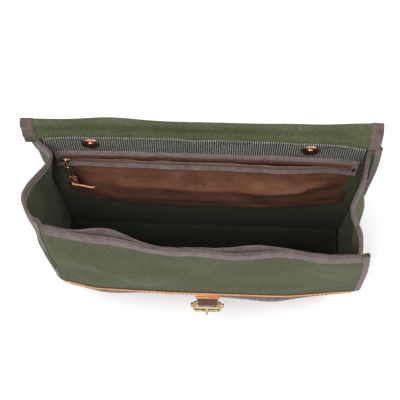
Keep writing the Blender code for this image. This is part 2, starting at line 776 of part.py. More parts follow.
def make_strap(fold, foot_at):
    """The closing strap: a sewn length on the flap's outer face, then its free tail."""
    out = -(CANVAS / 2 + SLOT_GAP + TAPE + GAP + STRAP_THICKNESS / 2)
    centre = BUCKLE_X
    joint_at = foot_at + 0.003
    start = joint_at - STRAP_SEWN
    half = STRAP_WIDTH / 2
    sides = (-half, 0, half)
    sewn = [[flap_point(centre + a, d, out) for a in sides] for d in steps(start, joint_at - FOLD_GAP / 2, 4)]
    put_on(fold, slab("strap_sewn", sewn, STRAP_THICKNESS, leather))
    pivot = add_pivot("strap_pivot", flap_point(centre, joint_at, out), fold)
    turn = FLAP_LEAN + STRAP_BEND
    down = Vector((0, sin(turn), -cos(turn)))
    root = Vector(pivot["world"])
    outline = [(FOLD_GAP / 2, 1.0), (STRAP_TAIL - 0.016, 1.0), (STRAP_TAIL - 0.007, 0.72), (STRAP_TAIL, 0.18)]
    rows = [[root + down * d + Vector((a * share, 0, 0)) for a in sides] for d, share in outline]
    tail = slab("strap_tail", rows, STRAP_THICKNESS, leather)
    put_on(pivot, tail)
    across = Vector((0, cos(turn), sin(turn)))
    for k in range(STRAP_HOLES):
        spot = root + down * (STRAP_TAIL - 0.018 - k * STRAP_HOLE_SPACING)
        hole = cylinder(
            f"strap_hole_{k}", STRAP_HOLE_RADIUS, spot - across * 0.006, spot + across * 0.006, brass, sides=12,
        )
        cut(tail, put_on(pivot, hole))


make_shell()
make_boot()
make_gussets()
strip_of_webbing = make_webbing()
make_zip()
make_slider()
make_pocket()
back = bpy.data.objects["back_panel"]
for ring_word, rivet_x in (("left", RIVET_LEFT_X), ("right", RIVET_RIGHT_X)):
    tab_of_ring = make_ring_tab(ring_word, rivet_x)
    make_ring(ring_word, rivet_x)
    make_rivet(ring_word, rivet_x, (strip_of_webbing, back, tab_of_ring))
make_buckle()
make_flap()
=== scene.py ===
"""Looks of the open canvas messenger bag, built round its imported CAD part."""

from math import atan2, ceil, cos, pi, radians, sin

import bmesh
import bpy
import numpy as np
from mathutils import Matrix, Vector


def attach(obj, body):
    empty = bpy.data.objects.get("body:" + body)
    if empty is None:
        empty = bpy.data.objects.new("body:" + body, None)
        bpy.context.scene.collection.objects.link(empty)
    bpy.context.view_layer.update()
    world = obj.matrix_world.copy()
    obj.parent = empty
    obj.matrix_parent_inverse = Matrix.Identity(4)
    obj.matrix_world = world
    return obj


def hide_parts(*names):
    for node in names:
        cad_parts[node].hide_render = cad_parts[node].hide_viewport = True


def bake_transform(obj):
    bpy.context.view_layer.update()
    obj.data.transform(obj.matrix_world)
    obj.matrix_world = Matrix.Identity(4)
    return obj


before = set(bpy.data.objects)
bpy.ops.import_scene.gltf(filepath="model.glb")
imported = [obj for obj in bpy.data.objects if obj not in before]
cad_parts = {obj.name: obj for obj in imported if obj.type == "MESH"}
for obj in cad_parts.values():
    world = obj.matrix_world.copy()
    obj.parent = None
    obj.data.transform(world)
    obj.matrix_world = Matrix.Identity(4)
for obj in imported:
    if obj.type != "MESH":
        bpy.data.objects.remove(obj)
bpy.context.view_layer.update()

# ---- dimensions of the part, metres ---------------------------------------------------------

CANVAS, LEATHER, TAPE, NYLON, GAP = 0.0015, 0.0020, 0.0008, 0.0010, 0.0003
LAYER = CANVAS / 2 + GAP + LEATHER / 2
BACK_TOP, RIM_TOP, GUSSET_TOP = 0.258, 0.254, 0.250
BOOT_FRONT_TOP, BOOT_BACK_TOP, BELLY_HEIGHT = 0.145, 0.110, 0.136
PANEL_FOOT, GUSSET_FOOT, CORNER_RISE = 0.016, 0.0056, 0.0105
BACK_TOP_Y, BACK_BASE_Y, RIM_Y, BELLY_Y = 0.054, 0.040, -0.067, -0.080
BASE_FRONT_Y, BASE_INSET = -0.038, 0.009
LEFT_PULL, LEFT_PULL_START = 0.022, 0.020
BACK_LEFT, BACK_RIGHT = (0.166, 0.171, 0.178), (0.172, 0.182, 0.180)
FRONT_LEFT, FRONT_RIGHT = (0.157, 0.152, 0.163), (0.162, 0.174, 0.168)
BINDING_LEG, GUSSET_BELLY, CORNER_X = 0.010, 0.006, 0.176
LEFT_EDGE = ((0.0, 0.163), (0.14, 0.179), (0.38, 0.188), (0.84, 0.162), (1.0, 0.178))
RIGHT_EDGE = ((0.0, 0.168), (0.20, 0.170), (0.45, 0.160), (0.72, 0.173), (1.0, 0.180))
RIDGE_Y, RIDGE_Z = 0.072, 0.2735
FLAP_LEFT, FLAP_RIGHT = 0.1935, 0.1915
FLAP_START, FLAP_TOP_LENGTH, FLAP_FRONT_LENGTH = 0.004, 0.162, 0.072
FLAP_LEAN, FOLD_GAP = radians(6), 0.0030
STRAP_WIDTH, STRAP_THICKNESS, STRAP_SEWN, STRAP_TAIL = 0.0254, 0.0024, 0.060, 0.058
STRAP_BEND = radians(58)
WEBBING_LOW, WEBBING_HIGH, WEBBING_HALF, WEBBING = 0.225, 0.2565, 0.168, 0.0016
ZIP_CENTRE, ZIP_ROW, ZIP_ROW_GAP, ZIP_OUT = 0.2125, 0.0022, 0.0010, 0.0016
TAPE_HIGH, TAPE_LOW, ZIP_RAISED = 0.2275, 0.1945, 0.0040
TAPE_LEFT, TAPE_RIGHT, POCKET_LEFT, POCKET_RIGHT = 0.163, 0.173, 0.146, 0.167
TEETH_LEFT, TEETH_RIGHT, TOOTH_PITCH, ZIP_SHIFT = 0.157, 0.166, 0.00160, -0.0095
SLIDER_X, SLIDER_LENGTH, PULL_PIVOT_DROP = -0.142, 0.011, 0.0030
PULL_LEAN, PULL_WIRE, PULL_TAG = radians(14), 0.0180, 0.0220
RIVET_XS, RIVET_Z, RIVET_SHANK, RIVET_WASHER = {"left": -0.121, "right": 0.117}, 0.241, 0.0022, 0.0092
RING_ROD, RING_WIDTH, RING_DROP, RING_TAB_WIDTH = 0.0019, 0.030, 0.022, 0.024
RING_Z, RING_OUT = 0.222, 0.0080
BUCKLE_X, BUCKLE_ROD, BUCKLE_WIDTH = 0.011, 0.0017, 0.0300
TAB_TOP, REAR_BAR_Z, REAR_BAR_OUT, BUCKLE_LEAN = 0.139, 0.119, 0.0045, radians(8)
PIN_DROP, END_DROP, SLEEVE_RADIUS, PRONG_WIDTH, PRONG_LENGTH = 0.0080, 0.0230, 0.0031, 0.0034, 0.0290
STITCH_LENGTH, STITCH_PITCH, THREAD = 0.0025, 0.0036, 0.00030
YOKE = 0.052  # where the ridge cloth ends under the flap cloth
FOLD_AT = FLAP_START + FLAP_TOP_LENGTH
FLAP_FOOT = FOLD_AT + FLAP_FRONT_LENGTH
CELL = 0.0032  # spacing of the canvas grids
FLAP_COLUMNS = 118
FORWARD, BACKWARD, ACROSS = (0, -1.0, 0), (0, 1.0, 0), np.array([1.0, 0, 0])


def mix(a, b, t):
    return a + (b - a) * t


def smooth(low, high, value):
    t = np.clip((np.asarray(value, float) - low) / (high - low), 0, 1)
    return t * t * (3 - 2 * t)


def bump(value, centre, width):
    return np.exp(-(((np.asarray(value, float) - centre) / width) ** 2))


def through(t, low, middle, high, knee):
    """The parabola with value low at 0, middle at knee and high at 1."""
    return (
        low * (t - knee) * (t - 1) / knee
        + middle * t * (t - 1) / (knee * (knee - 1))
        + high * t * (t - knee) / (1 - knee)
    )


def along(knots, t):
    """A smooth curve through knots of (share, value)."""
    t = np.clip(np.asarray(t, float), knots[0][0], knots[-1][0])
    places = np.array([k[0] for k in knots])
    values = np.array([k[1] for k in knots])
    slopes = np.array([
        (values[min(i + 1, len(knots) - 1)] - values[max(i - 1, 0)])
        / (places[min(i + 1, len(knots) - 1)] - places[max(i - 1, 0)])
        for i in range(len(knots))
    ])
    i = np.clip(np.searchsorted(places, t, side="right") - 1, 0, len(knots) - 2)
    rise = places[i + 1] - places[i]
    s = (t - places[i]) / rise
    return (
        values[i] * (2 * s**3 - 3 * s**2 + 1)
        + slopes[i] * rise * (s**3 - 2 * s**2 + s)
        + values[i + 1] * (3 * s**2 - 2 * s**3)
        + slopes[i + 1] * rise * (s**3 - s**2)
    )


# ---- shape of the bag -----------------------------------------------------------------------


def back_y(z):
    return mix(BACK_BASE_Y, BACK_TOP_Y, z / BACK_TOP)


def bow(x, z):
    """The back wall is pushed out a little in the middle of its upper half."""
    return 0.0045 * np.clip(1 - (np.asarray(x, float) / CORNER_X) ** 6, 0, 1) * smooth(0.120, 0.205, z)


def front_y(z):
    z = np.asarray(z, float)
    above = np.clip((z - BELLY_HEIGHT) / (RIM_TOP - BELLY_HEIGHT), 0, 1)
    below = np.clip((BELLY_HEIGHT - z) / BELLY_HEIGHT, 0, 1)
    high = mix(BELLY_Y, RIM_Y, above**1.5)
    low = mix(BELLY_Y, BASE_FRONT_Y, below**1.3)
    return np.where(z > BELLY_HEIGHT, high, low)


def left_pull(x, z):
    reach = np.clip((-x - LEFT_PULL_START) / (FRONT_LEFT[2] - LEFT_PULL_START), 0, 1.3)
    return LEFT_PULL * reach**1.4 * np.clip(z / RIM_TOP, 0, 1) ** 3


def half_width(widths, z):
    return through(z / BACK_TOP, *widths, BELLY_HEIGHT / BACK_TOP)


def front_bulge(x, z):
    """How the front departs from the plain shape: flat under the boot's edge, its corners turned in."""
    z = np.asarray(z, float)
    line = float(front_y(BOOT_FRONT_TOP)) + 0.300 * (BOOT_FRONT_TOP - z)
    flat = np.where(z < BOOT_FRONT_TOP, np.maximum(line - front_y(z), 0), 0)
    flat = flat * smooth(0.0, 0.030, z) * (1 - 0.80 * bump(x, 0.078, 0.052))
    low = 1 - smooth(0.150, 0.235, z)
    turned_in = low * (0.0080 * smooth(0.085, 0.185, x) + 0.0060 * smooth(0.112, 0.160, -x))
    return turned_in + flat


def front_surface(u, z, behind=0.0):
    x = mix(-half_width(FRONT_LEFT, z), half_width(FRONT_RIGHT, z), u)
    return np.stack([x, front_y(z) + left_pull(x, z) + front_bulge(x, z) + behind, z + 0 * x], -1)


def back_surface(u, z, behind=0.0):
    x = mix(-half_width(BACK_LEFT, z), half_width(BACK_RIGHT, z), u)
    return np.stack([x, back_y(z) + bow(x, z) + behind, z + 0 * x], -1)


def gusset_surface(side, u, z):
    fronts, backs = (FRONT_LEFT, BACK_LEFT) if side < 0 else (FRONT_RIGHT, BACK_RIGHT)
    edge = LEFT_EDGE if side < 0 else RIGHT_EDGE
    corner = front_surface(0.0 if side < 0 else 1.0, z)[..., 1] + CANVAS + GAP
    y = mix(corner, back_y(z) - CANVAS - GAP, u)
    plain = mix(half_width(fronts, z), half_width(backs, z), u) + GUSSET_BELLY * np.sin(pi * u)
    if side < 0:
        plain = plain + 0.010 * bump(u, 0.16, 0.14) * bump(z, 0.200, 0.045)
    else:
        plain = plain + 0.007 * bump(u, 0.14, 0.13) * bump(z, 0.205, 0.040)
    mouth = np.clip(z / GUSSET_TOP, 0, 1.1) ** 3
    return np.stack([side * mix(plain, along(edge, u), mouth), y, z + 0 * u], -1)


def wall_y(z, out, x=CORNER_X):
    return back_y(z) + bow(x, z) - CANVAS / 2 - GAP - out


def flap_point(x, distance, out=0.0):
    down = np.array([0, sin(FLAP_LEAN), -cos(FLAP_LEAN)])
    away = np.array([0, cos(FLAP_LEAN), sin(FLAP_LEAN)])
    root = np.array([0, RIDGE_Y, RIDGE_Z])
    x, distance, out = np.broadcast_arrays(*(np.asarray(v, float) for v in (x, distance, out)))
    return root + x[..., None] * np.array([1.0, 0, 0]) + distance[..., None] * down + out[..., None] * away


# ---- wrinkles -------------------------------------------------------------------------------


def rumple(a, b, seed, size, stretch=(1.0, 1.0), count=18):
    """Soft irregular waves of about the given size, with an even spread of about one."""
    random = np.random.RandomState(seed)
    total = np.zeros(np.broadcast(a, b).shape)
    for _ in range(count):
        turn = random.uniform(0, pi)
        wave = 2 * pi / (size * random.uniform(0.7, 1.8))
        phase = random.uniform(0, 2 * pi)
        total += np.sin((a * cos(turn) / stretch[0] + b * sin(turn) / stretch[1]) * wave + phase)
    return total / count**0.5 * 1.4


def creases(a, b, folds):
    """Ridges along short lines: each fold is (a0, b0, a1, b1, width, height)."""
    total = np.zeros(np.broadcast(a, b).shape)
    for a0, b0, a1, b1, width, height in folds:
        length = (a1 - a0) ** 2 + (b1 - b0) ** 2
        t = np.clip(((a - a0) * (a1 - a0) + (b - b0) * (b1 - b0)) / length, 0, 1)
        away = np.hypot(a - mix(a0, a1, t), b - mix(b0, b1, t))
        fade = np.sin(pi * np.clip(t, 0.02, 0.98)) ** 0.6
        total += height * fade * np.exp(-((away / width) ** 2))
    return total


# ---- mesh helpers ---------------------------------------------------------------------------


def unit(vectors):
    return vectors / np.maximum(np.linalg.norm(vectors, axis=-1, keepdims=True), 1e-12)


def circle(first, second, sides):
    """Corners of a round or oval ring about the origin, from its two half axes."""
    turn = 2 * pi * np.arange(sides) / sides
    return np.cos(turn)[:, None] * first + np.sin(turn)[:, None] * second


def normals_of(points):
    return unit(np.cross(np.gradient(points, axis=1), np.gradient(points, axis=0)))


def lengths_along(points):
    return np.concatenate([[0], np.cumsum(np.linalg.norm(np.diff(points, axis=0), axis=1))])


def new_object(name, verts, faces, finish, smooth_angle=45, uv=None):
    mesh = bpy.data.meshes.new(name)
    mesh.from_pydata([tuple(v) for v in verts], [], faces)
    if uv is not None:
        layer = mesh.uv_layers.new(name="UVMap")
        corner = np.empty(len(mesh.loops), int)
        mesh.loops.foreach_get("vertex_index", corner)
        layer.data.foreach_set("uv", uv[corner].ravel())
    for one in finish if isinstance(finish, (list, tuple)) else [finish]:
        mesh.materials.append(one)
    mesh.shade_smooth()
    mesh.set_sharp_from_angle(angle=radians(smooth_angle))
    made = bpy.data.objects.new(name, mesh)
    bpy.context.scene.collection.objects.link(made)
    return made


def sheet(name, points, thickness, finish, edge=None, relief=None, smooth_angle=50):
    """A closed sheet about a grid of points, its rim in the edge material, unwrapped in metres."""
    tall, wide = points.shape[:2]
    normal = normals_of(points)
    half = thickness / 2
    verts = np.stack([points + normal * half, points - normal * half]).reshape(-1, 3)
    count = tall * wide
    faces = []
    for i in range(tall - 1):
        for j in range(wide - 1):
            a = i * wide + j
            faces.append((a, a + 1, a + wide + 1, a + wide))
            faces.append((count + a + wide, count + a + wide + 1, count + a + 1, count + a))
    sides = len(faces)
    outline = (
        list(range(wide))
        + [i * wide + wide - 1 for i in range(1, tall)]
        + [(tall - 1) * wide + j for j in range(wide - 2, -1, -1)]
        + [i * wide for i in range(tall - 2, 0, -1)]
    )
    for a, b in zip(outline, outline[1:] + outline[:1]):
        faces.append((b, a, count + a, count + b))
    across = lengths_along(points[tall // 2])
    up = lengths_along(points[:, wide // 2])
    flat = np.stack(np.meshgrid(across - across[-1] / 2, up), -1).reshape(-1, 2)
    unwrapped = np.concatenate([flat, flat])
    made = new_object(name, verts, faces, [finish, edge or finish], smooth_angle, unwrapped)
    if edge:
        index = np.zeros(len(faces), int)
        index[sides:] = 1
        made.data.polygons.foreach_set("material_index", index)
    if relief is not None:
        store = made.data.attributes.new("relief", "FLOAT", "POINT")
        store.data.foreach_set("value", np.concatenate([relief.ravel(), -relief.ravel()]))
    return made


def swept(name, rings, finish, closed=False, smooth_angle=40):
    """A solid through rings of points, capped at both ends unless it closes on itself."""
    rings = np.asarray(rings, float)
    tall, wide = rings.shape[:2]
    faces = []
    for i in range(tall if closed else tall - 1):
        for k in range(wide):
            n, m = (k + 1) % wide, (i + 1) % tall
            faces.append((i * wide + k, i * wide + n, m * wide + n, m * wide + k))
    if not closed:
        faces.append(tuple(reversed(range(wide))))
        faces.append(tuple(range((tall - 1) * wide, tall * wide)))
    made = new_object(name, rings.reshape(-1, 3), faces, finish, smooth_angle)
    fix_normals(made)
    made.data.set_sharp_from_angle(angle=radians(smooth_angle))
    return made


def fix_normals(made):
    bm = bmesh.new()
    bm.from_mesh(made.data)
    bmesh.ops.recalc_face_normals(bm, faces=bm.faces)
    bm.to_mesh(made.data)
    bm.free()


def tube(name, path, radius, finish, closed=False, sides=18):
    """A round rod along a path; radius may change from point to point."""
    path = np.asarray(path, float)
    count = len(path)
    radius = np.broadcast_to(radius, (count,))
    if closed:
        run = unit(np.roll(path, -1, 0) - np.roll(path, 1, 0))
    else:
        run = unit(np.gradient(path, axis=0))
    side = unit(np.cross(run[0], [0.31, 0.52, 0.79]))
    rings = []
    for i in range(count):
        side = unit(side - run[i] * np.dot(side, run[i]))
        rings.append(path[i] + radius[i] * circle(side, np.cross(run[i], side), sides))
    return swept(name, rings, finish, closed)


def turned(name, profile, start, direction, finish, sides=40):
    """A solid of revolution: profile is (radius, distance along the axis)."""
    axis = unit(np.asarray(direction, float))
    side = unit(np.cross(axis, [0.3, 0.5, 0.8]))
    ring = circle(side, np.cross(axis, side), sides)
    return swept(name, [np.asarray(start) + axis * d + r * ring for r, d in profile], finish, smooth_angle=32)


def rounded(corners, bend, closed=True, per=6):
    """A path through corners, each rounded off over the length bend."""
    corners = [np.asarray(c, float) for c in corners]
    path = []
    count = len(corners)
    for i, corner in enumerate(corners):
        if not closed and i in (0, count - 1):
            path.append(corner)
            continue
        before = unit(corners[i - 1] - corner)
        after = unit(corners[(i + 1) % count] - corner)
        first, last = corner + before * bend, corner + after * bend
        for t in np.linspace(0, 1, per):
            path.append(first * (1 - t) ** 2 + corner * 2 * t * (1 - t) + last * t**2)
    return np.array(path)


def resampled(path, count):
    """The same path with evenly spaced points."""
    path = np.asarray(path, float)
    place = lengths_along(path)
    wanted = np.linspace(0, place[-1], count)
    return np.stack([np.interp(wanted, place, path[:, k]) for k in range(3)], -1)


def curve_through(points, count):
    """A smooth path through a few points, evenly spaced."""
    points = np.asarray(points, float)
    place = lengths_along(points) / lengths_along(points)[-1]
    fine = np.linspace(0, 1, 12 * len(points))
    dense = np.stack([along(list(zip(place, points[:, k])), fine) for k in range(points.shape[1])], -1)
    return resampled(dense, count)


def rods(name, rings, finish):
    """One mesh of many short capped rods, from the corners of each ring of each rod."""
    rings = np.asarray(rings)
    tall, sides = rings.shape[1:3]
    faces = []
    for base in range(0, len(rings) * tall * sides, tall * sides):
        last = base + (tall - 1) * sides
        for ring in range(base, last, sides):
            for k in range(sides):
                n = (k + 1) % sides
                faces.append((ring + k, ring + n, ring + sides + n, ring + sides + k))
        faces.append(tuple(base + k for k in reversed(range(sides))))
        faces.append(tuple(last + k for k in range(sides)))
    made = new_object(name, rings.reshape(-1, 3), faces, finish, 60)
    fix_normals(made)
    return made


def stitches(name, tracks, finish, length=STITCH_LENGTH, pitch=STITCH_PITCH, radius=THREAD):
    """Rows of sewing thread: each track is (path, outward normals)."""
    thread = []
    for path, outward in tracks:
        place = lengths_along(path)

        def read(rows, spot):
            return np.array([np.interp(spot, place, rows[:, k]) for k in range(3)])

        for spot in np.arange(pitch * 0.6, place[-1] - pitch * 0.4, pitch):
            at = read(path, spot)
            out = unit(read(outward, spot))
            run = unit(read(path, spot + 0.0004) - at)
            around = circle(unit(np.cross(run, out)), out, 6) * radius
            thread.append([
                at + run * share * length + out * radius * (0.55 - 0.72 * (2 * share) ** 4) + around * wide
                for share, wide in ((-0.5, 0.25), (-0.32, 0.85), (0.0, 1.0), (0.32, 0.85), (0.5, 0.25))
            ])
    return rods(name, thread, finish)


def track(path, outward):
    """A line to sew along that faces one way."""
    return path, np.broadcast_to(outward, path.shape)


def tape(edge, into, half_gap, leg, seed):
    """Grid of twill tape folded round an edge, and the two lines it is sewn along."""
    count = len(edge)
    into = unit(into)
    across = unit(np.cross(np.gradient(edge, axis=0), into))
    place = lengths_along(edge)
    wobble = rumple(place, 0 * place, seed, 0.030, count=7)
    r = half_gap + TAPE / 2 + 0.00012 * rumple(place, 0 * place, seed + 1, 0.012, count=7)

    def leg_columns(way, reach, shares):
        return [(way * r * (1 - 0.16 * bump(share, 0.78, 0.10)), reach * share) for share in shares]

    shares = (0.05, 0.20, 0.45, 0.70, 0.86, 1.0)
    columns = leg_columns(-1, leg + 0.0003 * wobble, shares[::-1])
    columns += [(r * cos(turn), r * sin(turn) * 0.85) for turn in np.linspace(pi, 2 * pi, 9)]
    columns += leg_columns(1, leg - 0.0003 * wobble, shares)
    grid = np.stack([
        edge + across * np.broadcast_to(a, (count,))[:, None] + into * np.broadcast_to(d, (count,))[:, None]
        for a, d in columns
    ], 1)
    outward = normals_of(grid)
    if np.mean(np.sum(outward[:, 0] * (grid[:, 0] - edge - into * leg), -1)) < 0:
        grid = grid[:, ::-1]
        outward = normals_of(grid)
    return grid, [(grid[:, k] + outward[:, k] * TAPE / 2, outward[:, k]) for k in (2, -3)]


# ---- materials ------------------------------------------------------------------------------


def srgb(r, g, b):
    return tuple(((c / 255 + 0.055) / 1.055) ** 2.4 if c > 10 else c / 3294.6 for c in (r, g, b)) + (1.0,)


class Finish:
    """A small builder for one node material."""

    def __init__(self, name, roughness, metallic=0.0, specular=0.5):
        self.material = bpy.data.materials.new(name)
        self.material.use_nodes = True
        self.tree = self.material.node_tree
        self.shader = self.tree.nodes["Principled BSDF"]
        self.shader.inputs["Roughness"].default_value = roughness
        self.shader.inputs["Metallic"].default_value = metallic
        self.shader.inputs["Specular IOR Level"].default_value = specular
        self.uv = self.tree.nodes.new("ShaderNodeTexCoord").outputs["UV"]
        self.here = self.tree.nodes.new("ShaderNodeTexCoord").outputs["Object"]

    def link(self, value, socket):
        if hasattr(value, "is_output"):
            self.tree.links.new(value, socket)
        else:
            socket.default_value = value

    def math(self, operation, a, b=0.0):
        node = self.tree.nodes.new("ShaderNodeMath")
        node.operation = operation
        self.link(a, node.inputs[0])
        self.link(b, node.inputs[1])
        return node.outputs[0]

    def total(self, *terms):
        """The sum of terms, each a value or a (value, factor) pair."""
        scaled = [self.math("MULTIPLY", *term) if isinstance(term, tuple) else term for term in terms]
        added = scaled[0]
        for term in scaled[1:]:
            added = self.math("ADD", added, term)
        return added

    def noise(self, where, scale, detail=2.0, stretch=(1, 1, 1), rough=0.5):
        mapping = self.tree.nodes.new("ShaderNodeMapping")
        mapping.inputs["Scale"].default_value = stretch
        self.link(where, mapping.inputs["Vector"])
        node = self.tree.nodes.new("ShaderNodeTexNoise")
        node.inputs["Scale"].default_value = scale
        node.inputs["Detail"].default_value = detail
        node.inputs["Roughness"].default_value = rough
        self.link(mapping.outputs[0], node.inputs["Vector"])
        return node.outputs[0]

    def cells(self, where, scale):
        node = self.tree.nodes.new("ShaderNodeTexVoronoi")
        node.inputs["Scale"].default_value = scale
        self.link(where, node.inputs["Vector"])
        return node.outputs["Distance"]

    def axes(self, where):
        node = self.tree.nodes.new("ShaderNodeSeparateXYZ")
        self.link(where, node.inputs[0])
        return node.outputs

    def ribs(self, value, pitch):
        return self.math("SINE", self.math("MULTIPLY", value, 2 * pi / pitch))

    def ramp(self, value, *stops):
        node = self.tree.nodes.new("ShaderNodeValToRGB")
        self.link(value, node.inputs[0])
        ramp = node.color_ramp
        ramp.elements[0].position, ramp.elements[0].color = stops[0]
        ramp.elements[1].position, ramp.elements[1].color = stops[-1]
        for position, colour in stops[1:-1]:
            ramp.elements.new(position).color = colour
        return node.outputs[0]

    def darkened(self, colour, by):
        node = self.tree.nodes.new("ShaderNodeMix")
        node.data_type = "RGBA"
        node.blend_type = "MULTIPLY"
        node.inputs[0].default_value = 1.0
        self.link(colour, node.inputs[6])
        self.link(by, node.inputs[7])
        return node.outputs[2]

    def range(self, value, low, high, new_low, new_high):
        node = self.tree.nodes.new("ShaderNodeMapRange")
        for socket, given in zip(node.inputs, (value, low, high, new_low, new_high)):
            self.link(given, socket)
        return node.outputs[0]

    # Fold height stored on a sheet; the canvas and nylon finishes add it to their colour, lighter on fold crests:
    # painted highlight, on canvas partly pull-up wear.
    def relief(self):
        node = self.tree.nodes.new("ShaderNodeAttribute")
        node.attribute_name = "relief"
        return node.outputs["Fac"]

    def colour(self, value):
        self.link(value, self.shader.inputs["Base Color"])

    def roughness(self, value):
        self.link(value, self.shader.inputs["Roughness"])

    def bump(self, height, distance, strength=1.0, under=None):
        node = self.tree.nodes.new("ShaderNodeBump")
        node.inputs["Strength"].default_value = strength
        node.inputs["Distance"].default_value = distance
        self.link(height, node.inputs["Height"])
        if under:
            self.link(under, node.inputs["Normal"])
        self.link(node.outputs[0], self.shader.inputs["Normal"])
        return node.outputs[0]

    def sheen(self, weight, roughness=0.5):
        self.shader.inputs["Sheen Weight"].default_value = weight
        self.shader.inputs["Sheen Roughness"].default_value = roughness


def make_canvas(name, dark, plain, light, painted_shade_by_height=None):
    """Plain weave with slubs and rubbed wax; the last argument, if given, is (low, high, share of the colour left
    at low) of a painted shade that darkens the colour towards the bottom.
    """
    f = Finish(name, 0.85, specular=0.22)
    u, v = f.axes(f.uv)[0:2]
    yarn = f.math("MULTIPLY", f.ribs(u, 0.00105), f.ribs(v, 0.00105))
    slubs = f.total(f.noise(f.uv, 900, 2, (0.06, 1, 1)), f.noise(f.uv, 900, 2, (1, 0.06, 1)))
    cloud = f.noise(f.here, 22, 4, rough=0.6)
    rub = f.noise(f.here, 420, 5, rough=0.8)
    # The fold height (relief) lightens the colour on fold crests: partly waxed-canvas pull-up wear, partly painted
    # highlight.
    tone = f.total((cloud, 0.09), (rub, 0.62), (slubs, 0.12), (f.relief(), 0.030), (yarn, 0.05))
    shade = f.ramp(tone, (0.30, dark), (0.52, plain), (0.80, light))
    # Painted shade: the colour is multiplied down towards the bottom of the object, from full at high to the given
    # share at low.
    if painted_shade_by_height:
        low, high, left = painted_shade_by_height
        shade = f.darkened(shade, f.range(f.axes(f.here)[2], low, high, left, 1.0))
    f.colour(shade)
    f.roughness(f.range(rub, 0.3, 0.7, 0.78, 0.94))
    soft = f.bump(f.noise(f.here, 60, 3), 0.0009, 0.35)
    f.bump(f.total((yarn, 0.5), (slubs, 0.8)), 0.00016, 0.75, soft)
    f.sheen(0.04)
    return f.material


def make_twill(name, dark, light):
    f = Finish(name, 0.88, specular=0.3)
    u, v = f.axes(f.uv)[0:2]
    rib = f.ribs(f.total(v, (u, 0.9)), 0.0016)
    yarn = f.ribs(u, 0.0007)
    mottle = f.noise(f.here, 120, 4, rough=0.65)
    f.colour(f.ramp(f.total((rib, 0.20), (yarn, 0.05), mottle, 0.02), (0.28, dark), (0.78, light)))
    f.bump(f.total(rib, (yarn, 0.4)), 0.00018, 0.8, f.bump(mottle, 0.0006, 0.4))
    f.sheen(0.25)
    return f.material


def make_leather(name, dark, plain, light):
    f = Finish(name, 0.42, specular=0.5)
    pores = f.cells(f.here, 900)
    finer = f.cells(f.here, 2070)
    haze = f.noise(f.here, 30, 5, rough=0.62)
    creasing = f.noise(f.here, 260, 4, (1, 1, 0.35), 0.7)
    tone = f.total((haze, 0.75), (creasing, 0.22), (pores, -0.05))
    f.colour(f.ramp(tone, (0.30, dark), (0.50, plain), (0.74, light)))
    f.roughness(f.range(creasing, 0.3, 0.7, 0.34, 0.56))
    grain = f.total((creasing, 0.7), (pores, -1.0), (finer, -0.4))
    f.bump(grain, 0.00022, 0.55, f.bump(haze, 0.0012, 0.25))
    return f.material


def make_raw_edge(name, dark, light):
    f = Finish(name, 0.70, specular=0.35)
    layers = f.noise(f.here, 1400, 3, (0.25, 1, 1))
    stain = f.noise(f.here, 60, 3)
    f.colour(f.ramp(f.total((layers, 0.6), (stain, 0.4)), (0.32, dark), (0.68, light)))
    f.bump(layers, 0.00012, 0.7)
    return f.material


def make_webbing(name, dark, plain, light):
    f = Finish(name, 0.80, specular=0.3)
    u, v = f.axes(f.uv)[0:2]
    column = f.ribs(u, 0.0024)
    woven = f.math("MULTIPLY", column, f.ribs(v, 0.0021))
    pick = f.ribs(u, 0.0008)
    fuzz = f.noise(f.uv, 700, 3, (1, 0.35, 1))
    tone = f.total((column, 0.34), (woven, 0.10), (fuzz, 0.7), (pick, 0.05), 0.09)
    f.colour(f.ramp(tone, (0.20, dark), (0.48, plain), (0.84, light)))
    f.bump(f.total((column, 0.6), (woven, 0.5), (pick, 0.2)), 0.00030, 0.9)
    return f.material


def make_zip_tape(name, dark, light):
    f = Finish(name, 0.85, specular=0.3)
    u, v = f.axes(f.uv)[0:2]
    rib = f.ribs(f.total(u, f.math("PINGPONG", v, 0.0030)), 0.0012)
    mottle = f.noise(f.here, 150, 4, rough=0.6)
    f.colour(f.ramp(f.total((rib, 0.16), mottle), (0.28, dark), (0.75, light)))
    f.bump(rib, 0.00016, 0.8, f.bump(mottle, 0.0005, 0.3))
    f.sheen(0.2)
    return f.material


def make_nylon(name, dark, plain, light):
    f = Finish(name, 0.55, specular=0.25)
    u, v = f.axes(f.uv)[0:2]
    yarn = f.math("MULTIPLY", f.ribs(u, 0.0007), f.ribs(v, 0.0007))
    cloud = f.noise(f.here, 45, 4, rough=0.6)
    # The fold height (relief) lightens the colour on fold crests: a painted highlight.
    tone = f.total((yarn, 0.06), (cloud, 0.5), (f.relief(), 0.05), 0.25)
    f.colour(f.ramp(tone, (0.25, dark), (0.50, plain), (0.80, light)))
    f.bump(yarn, 0.00010, 0.6, f.bump(f.noise(f.here, 75, 4, (1, 1, 0.6), 0.6), 0.0016, 0.45))
    f.sheen(0.02)
    return f.material


def make_coil(name, dark, light):
    f = Finish(name, 0.38, specular=0.5)
    mottle = f.noise(f.here, 400, 3)
    f.colour(f.ramp(mottle, (0.3, dark), (0.7, light)))
    f.bump(mottle, 0.00008, 0.4)
    return f.material


def make_metal(name, dark, light, roughness):
    f = Finish(name, roughness, metallic=1.0)
    tarnish = f.noise(f.here, 240, 5, rough=0.7)
    scratch = f.noise(f.here, 1500, 2, (1, 0.12, 0.4))
    f.colour(f.ramp(f.total((tarnish, 0.8), (scratch, 0.2)), (0.34, dark), (0.60, light)))
    f.roughness(f.range(scratch, 0.3, 0.7, roughness - 0.08, roughness + 0.12))
    f.bump(f.total(scratch, tarnish), 0.00006, 0.35)
    return f.material


def make_thread(name, dark, light):
    f = Finish(name, 0.7, specular=0.4)
    twist = f.noise(f.here, 1800, 2, (1, 0.4, 1))
    f.colour(f.ramp(twist, (0.35, dark), (0.65, light)))
    f.bump(twist, 0.00010, 0.6)
    return f.material


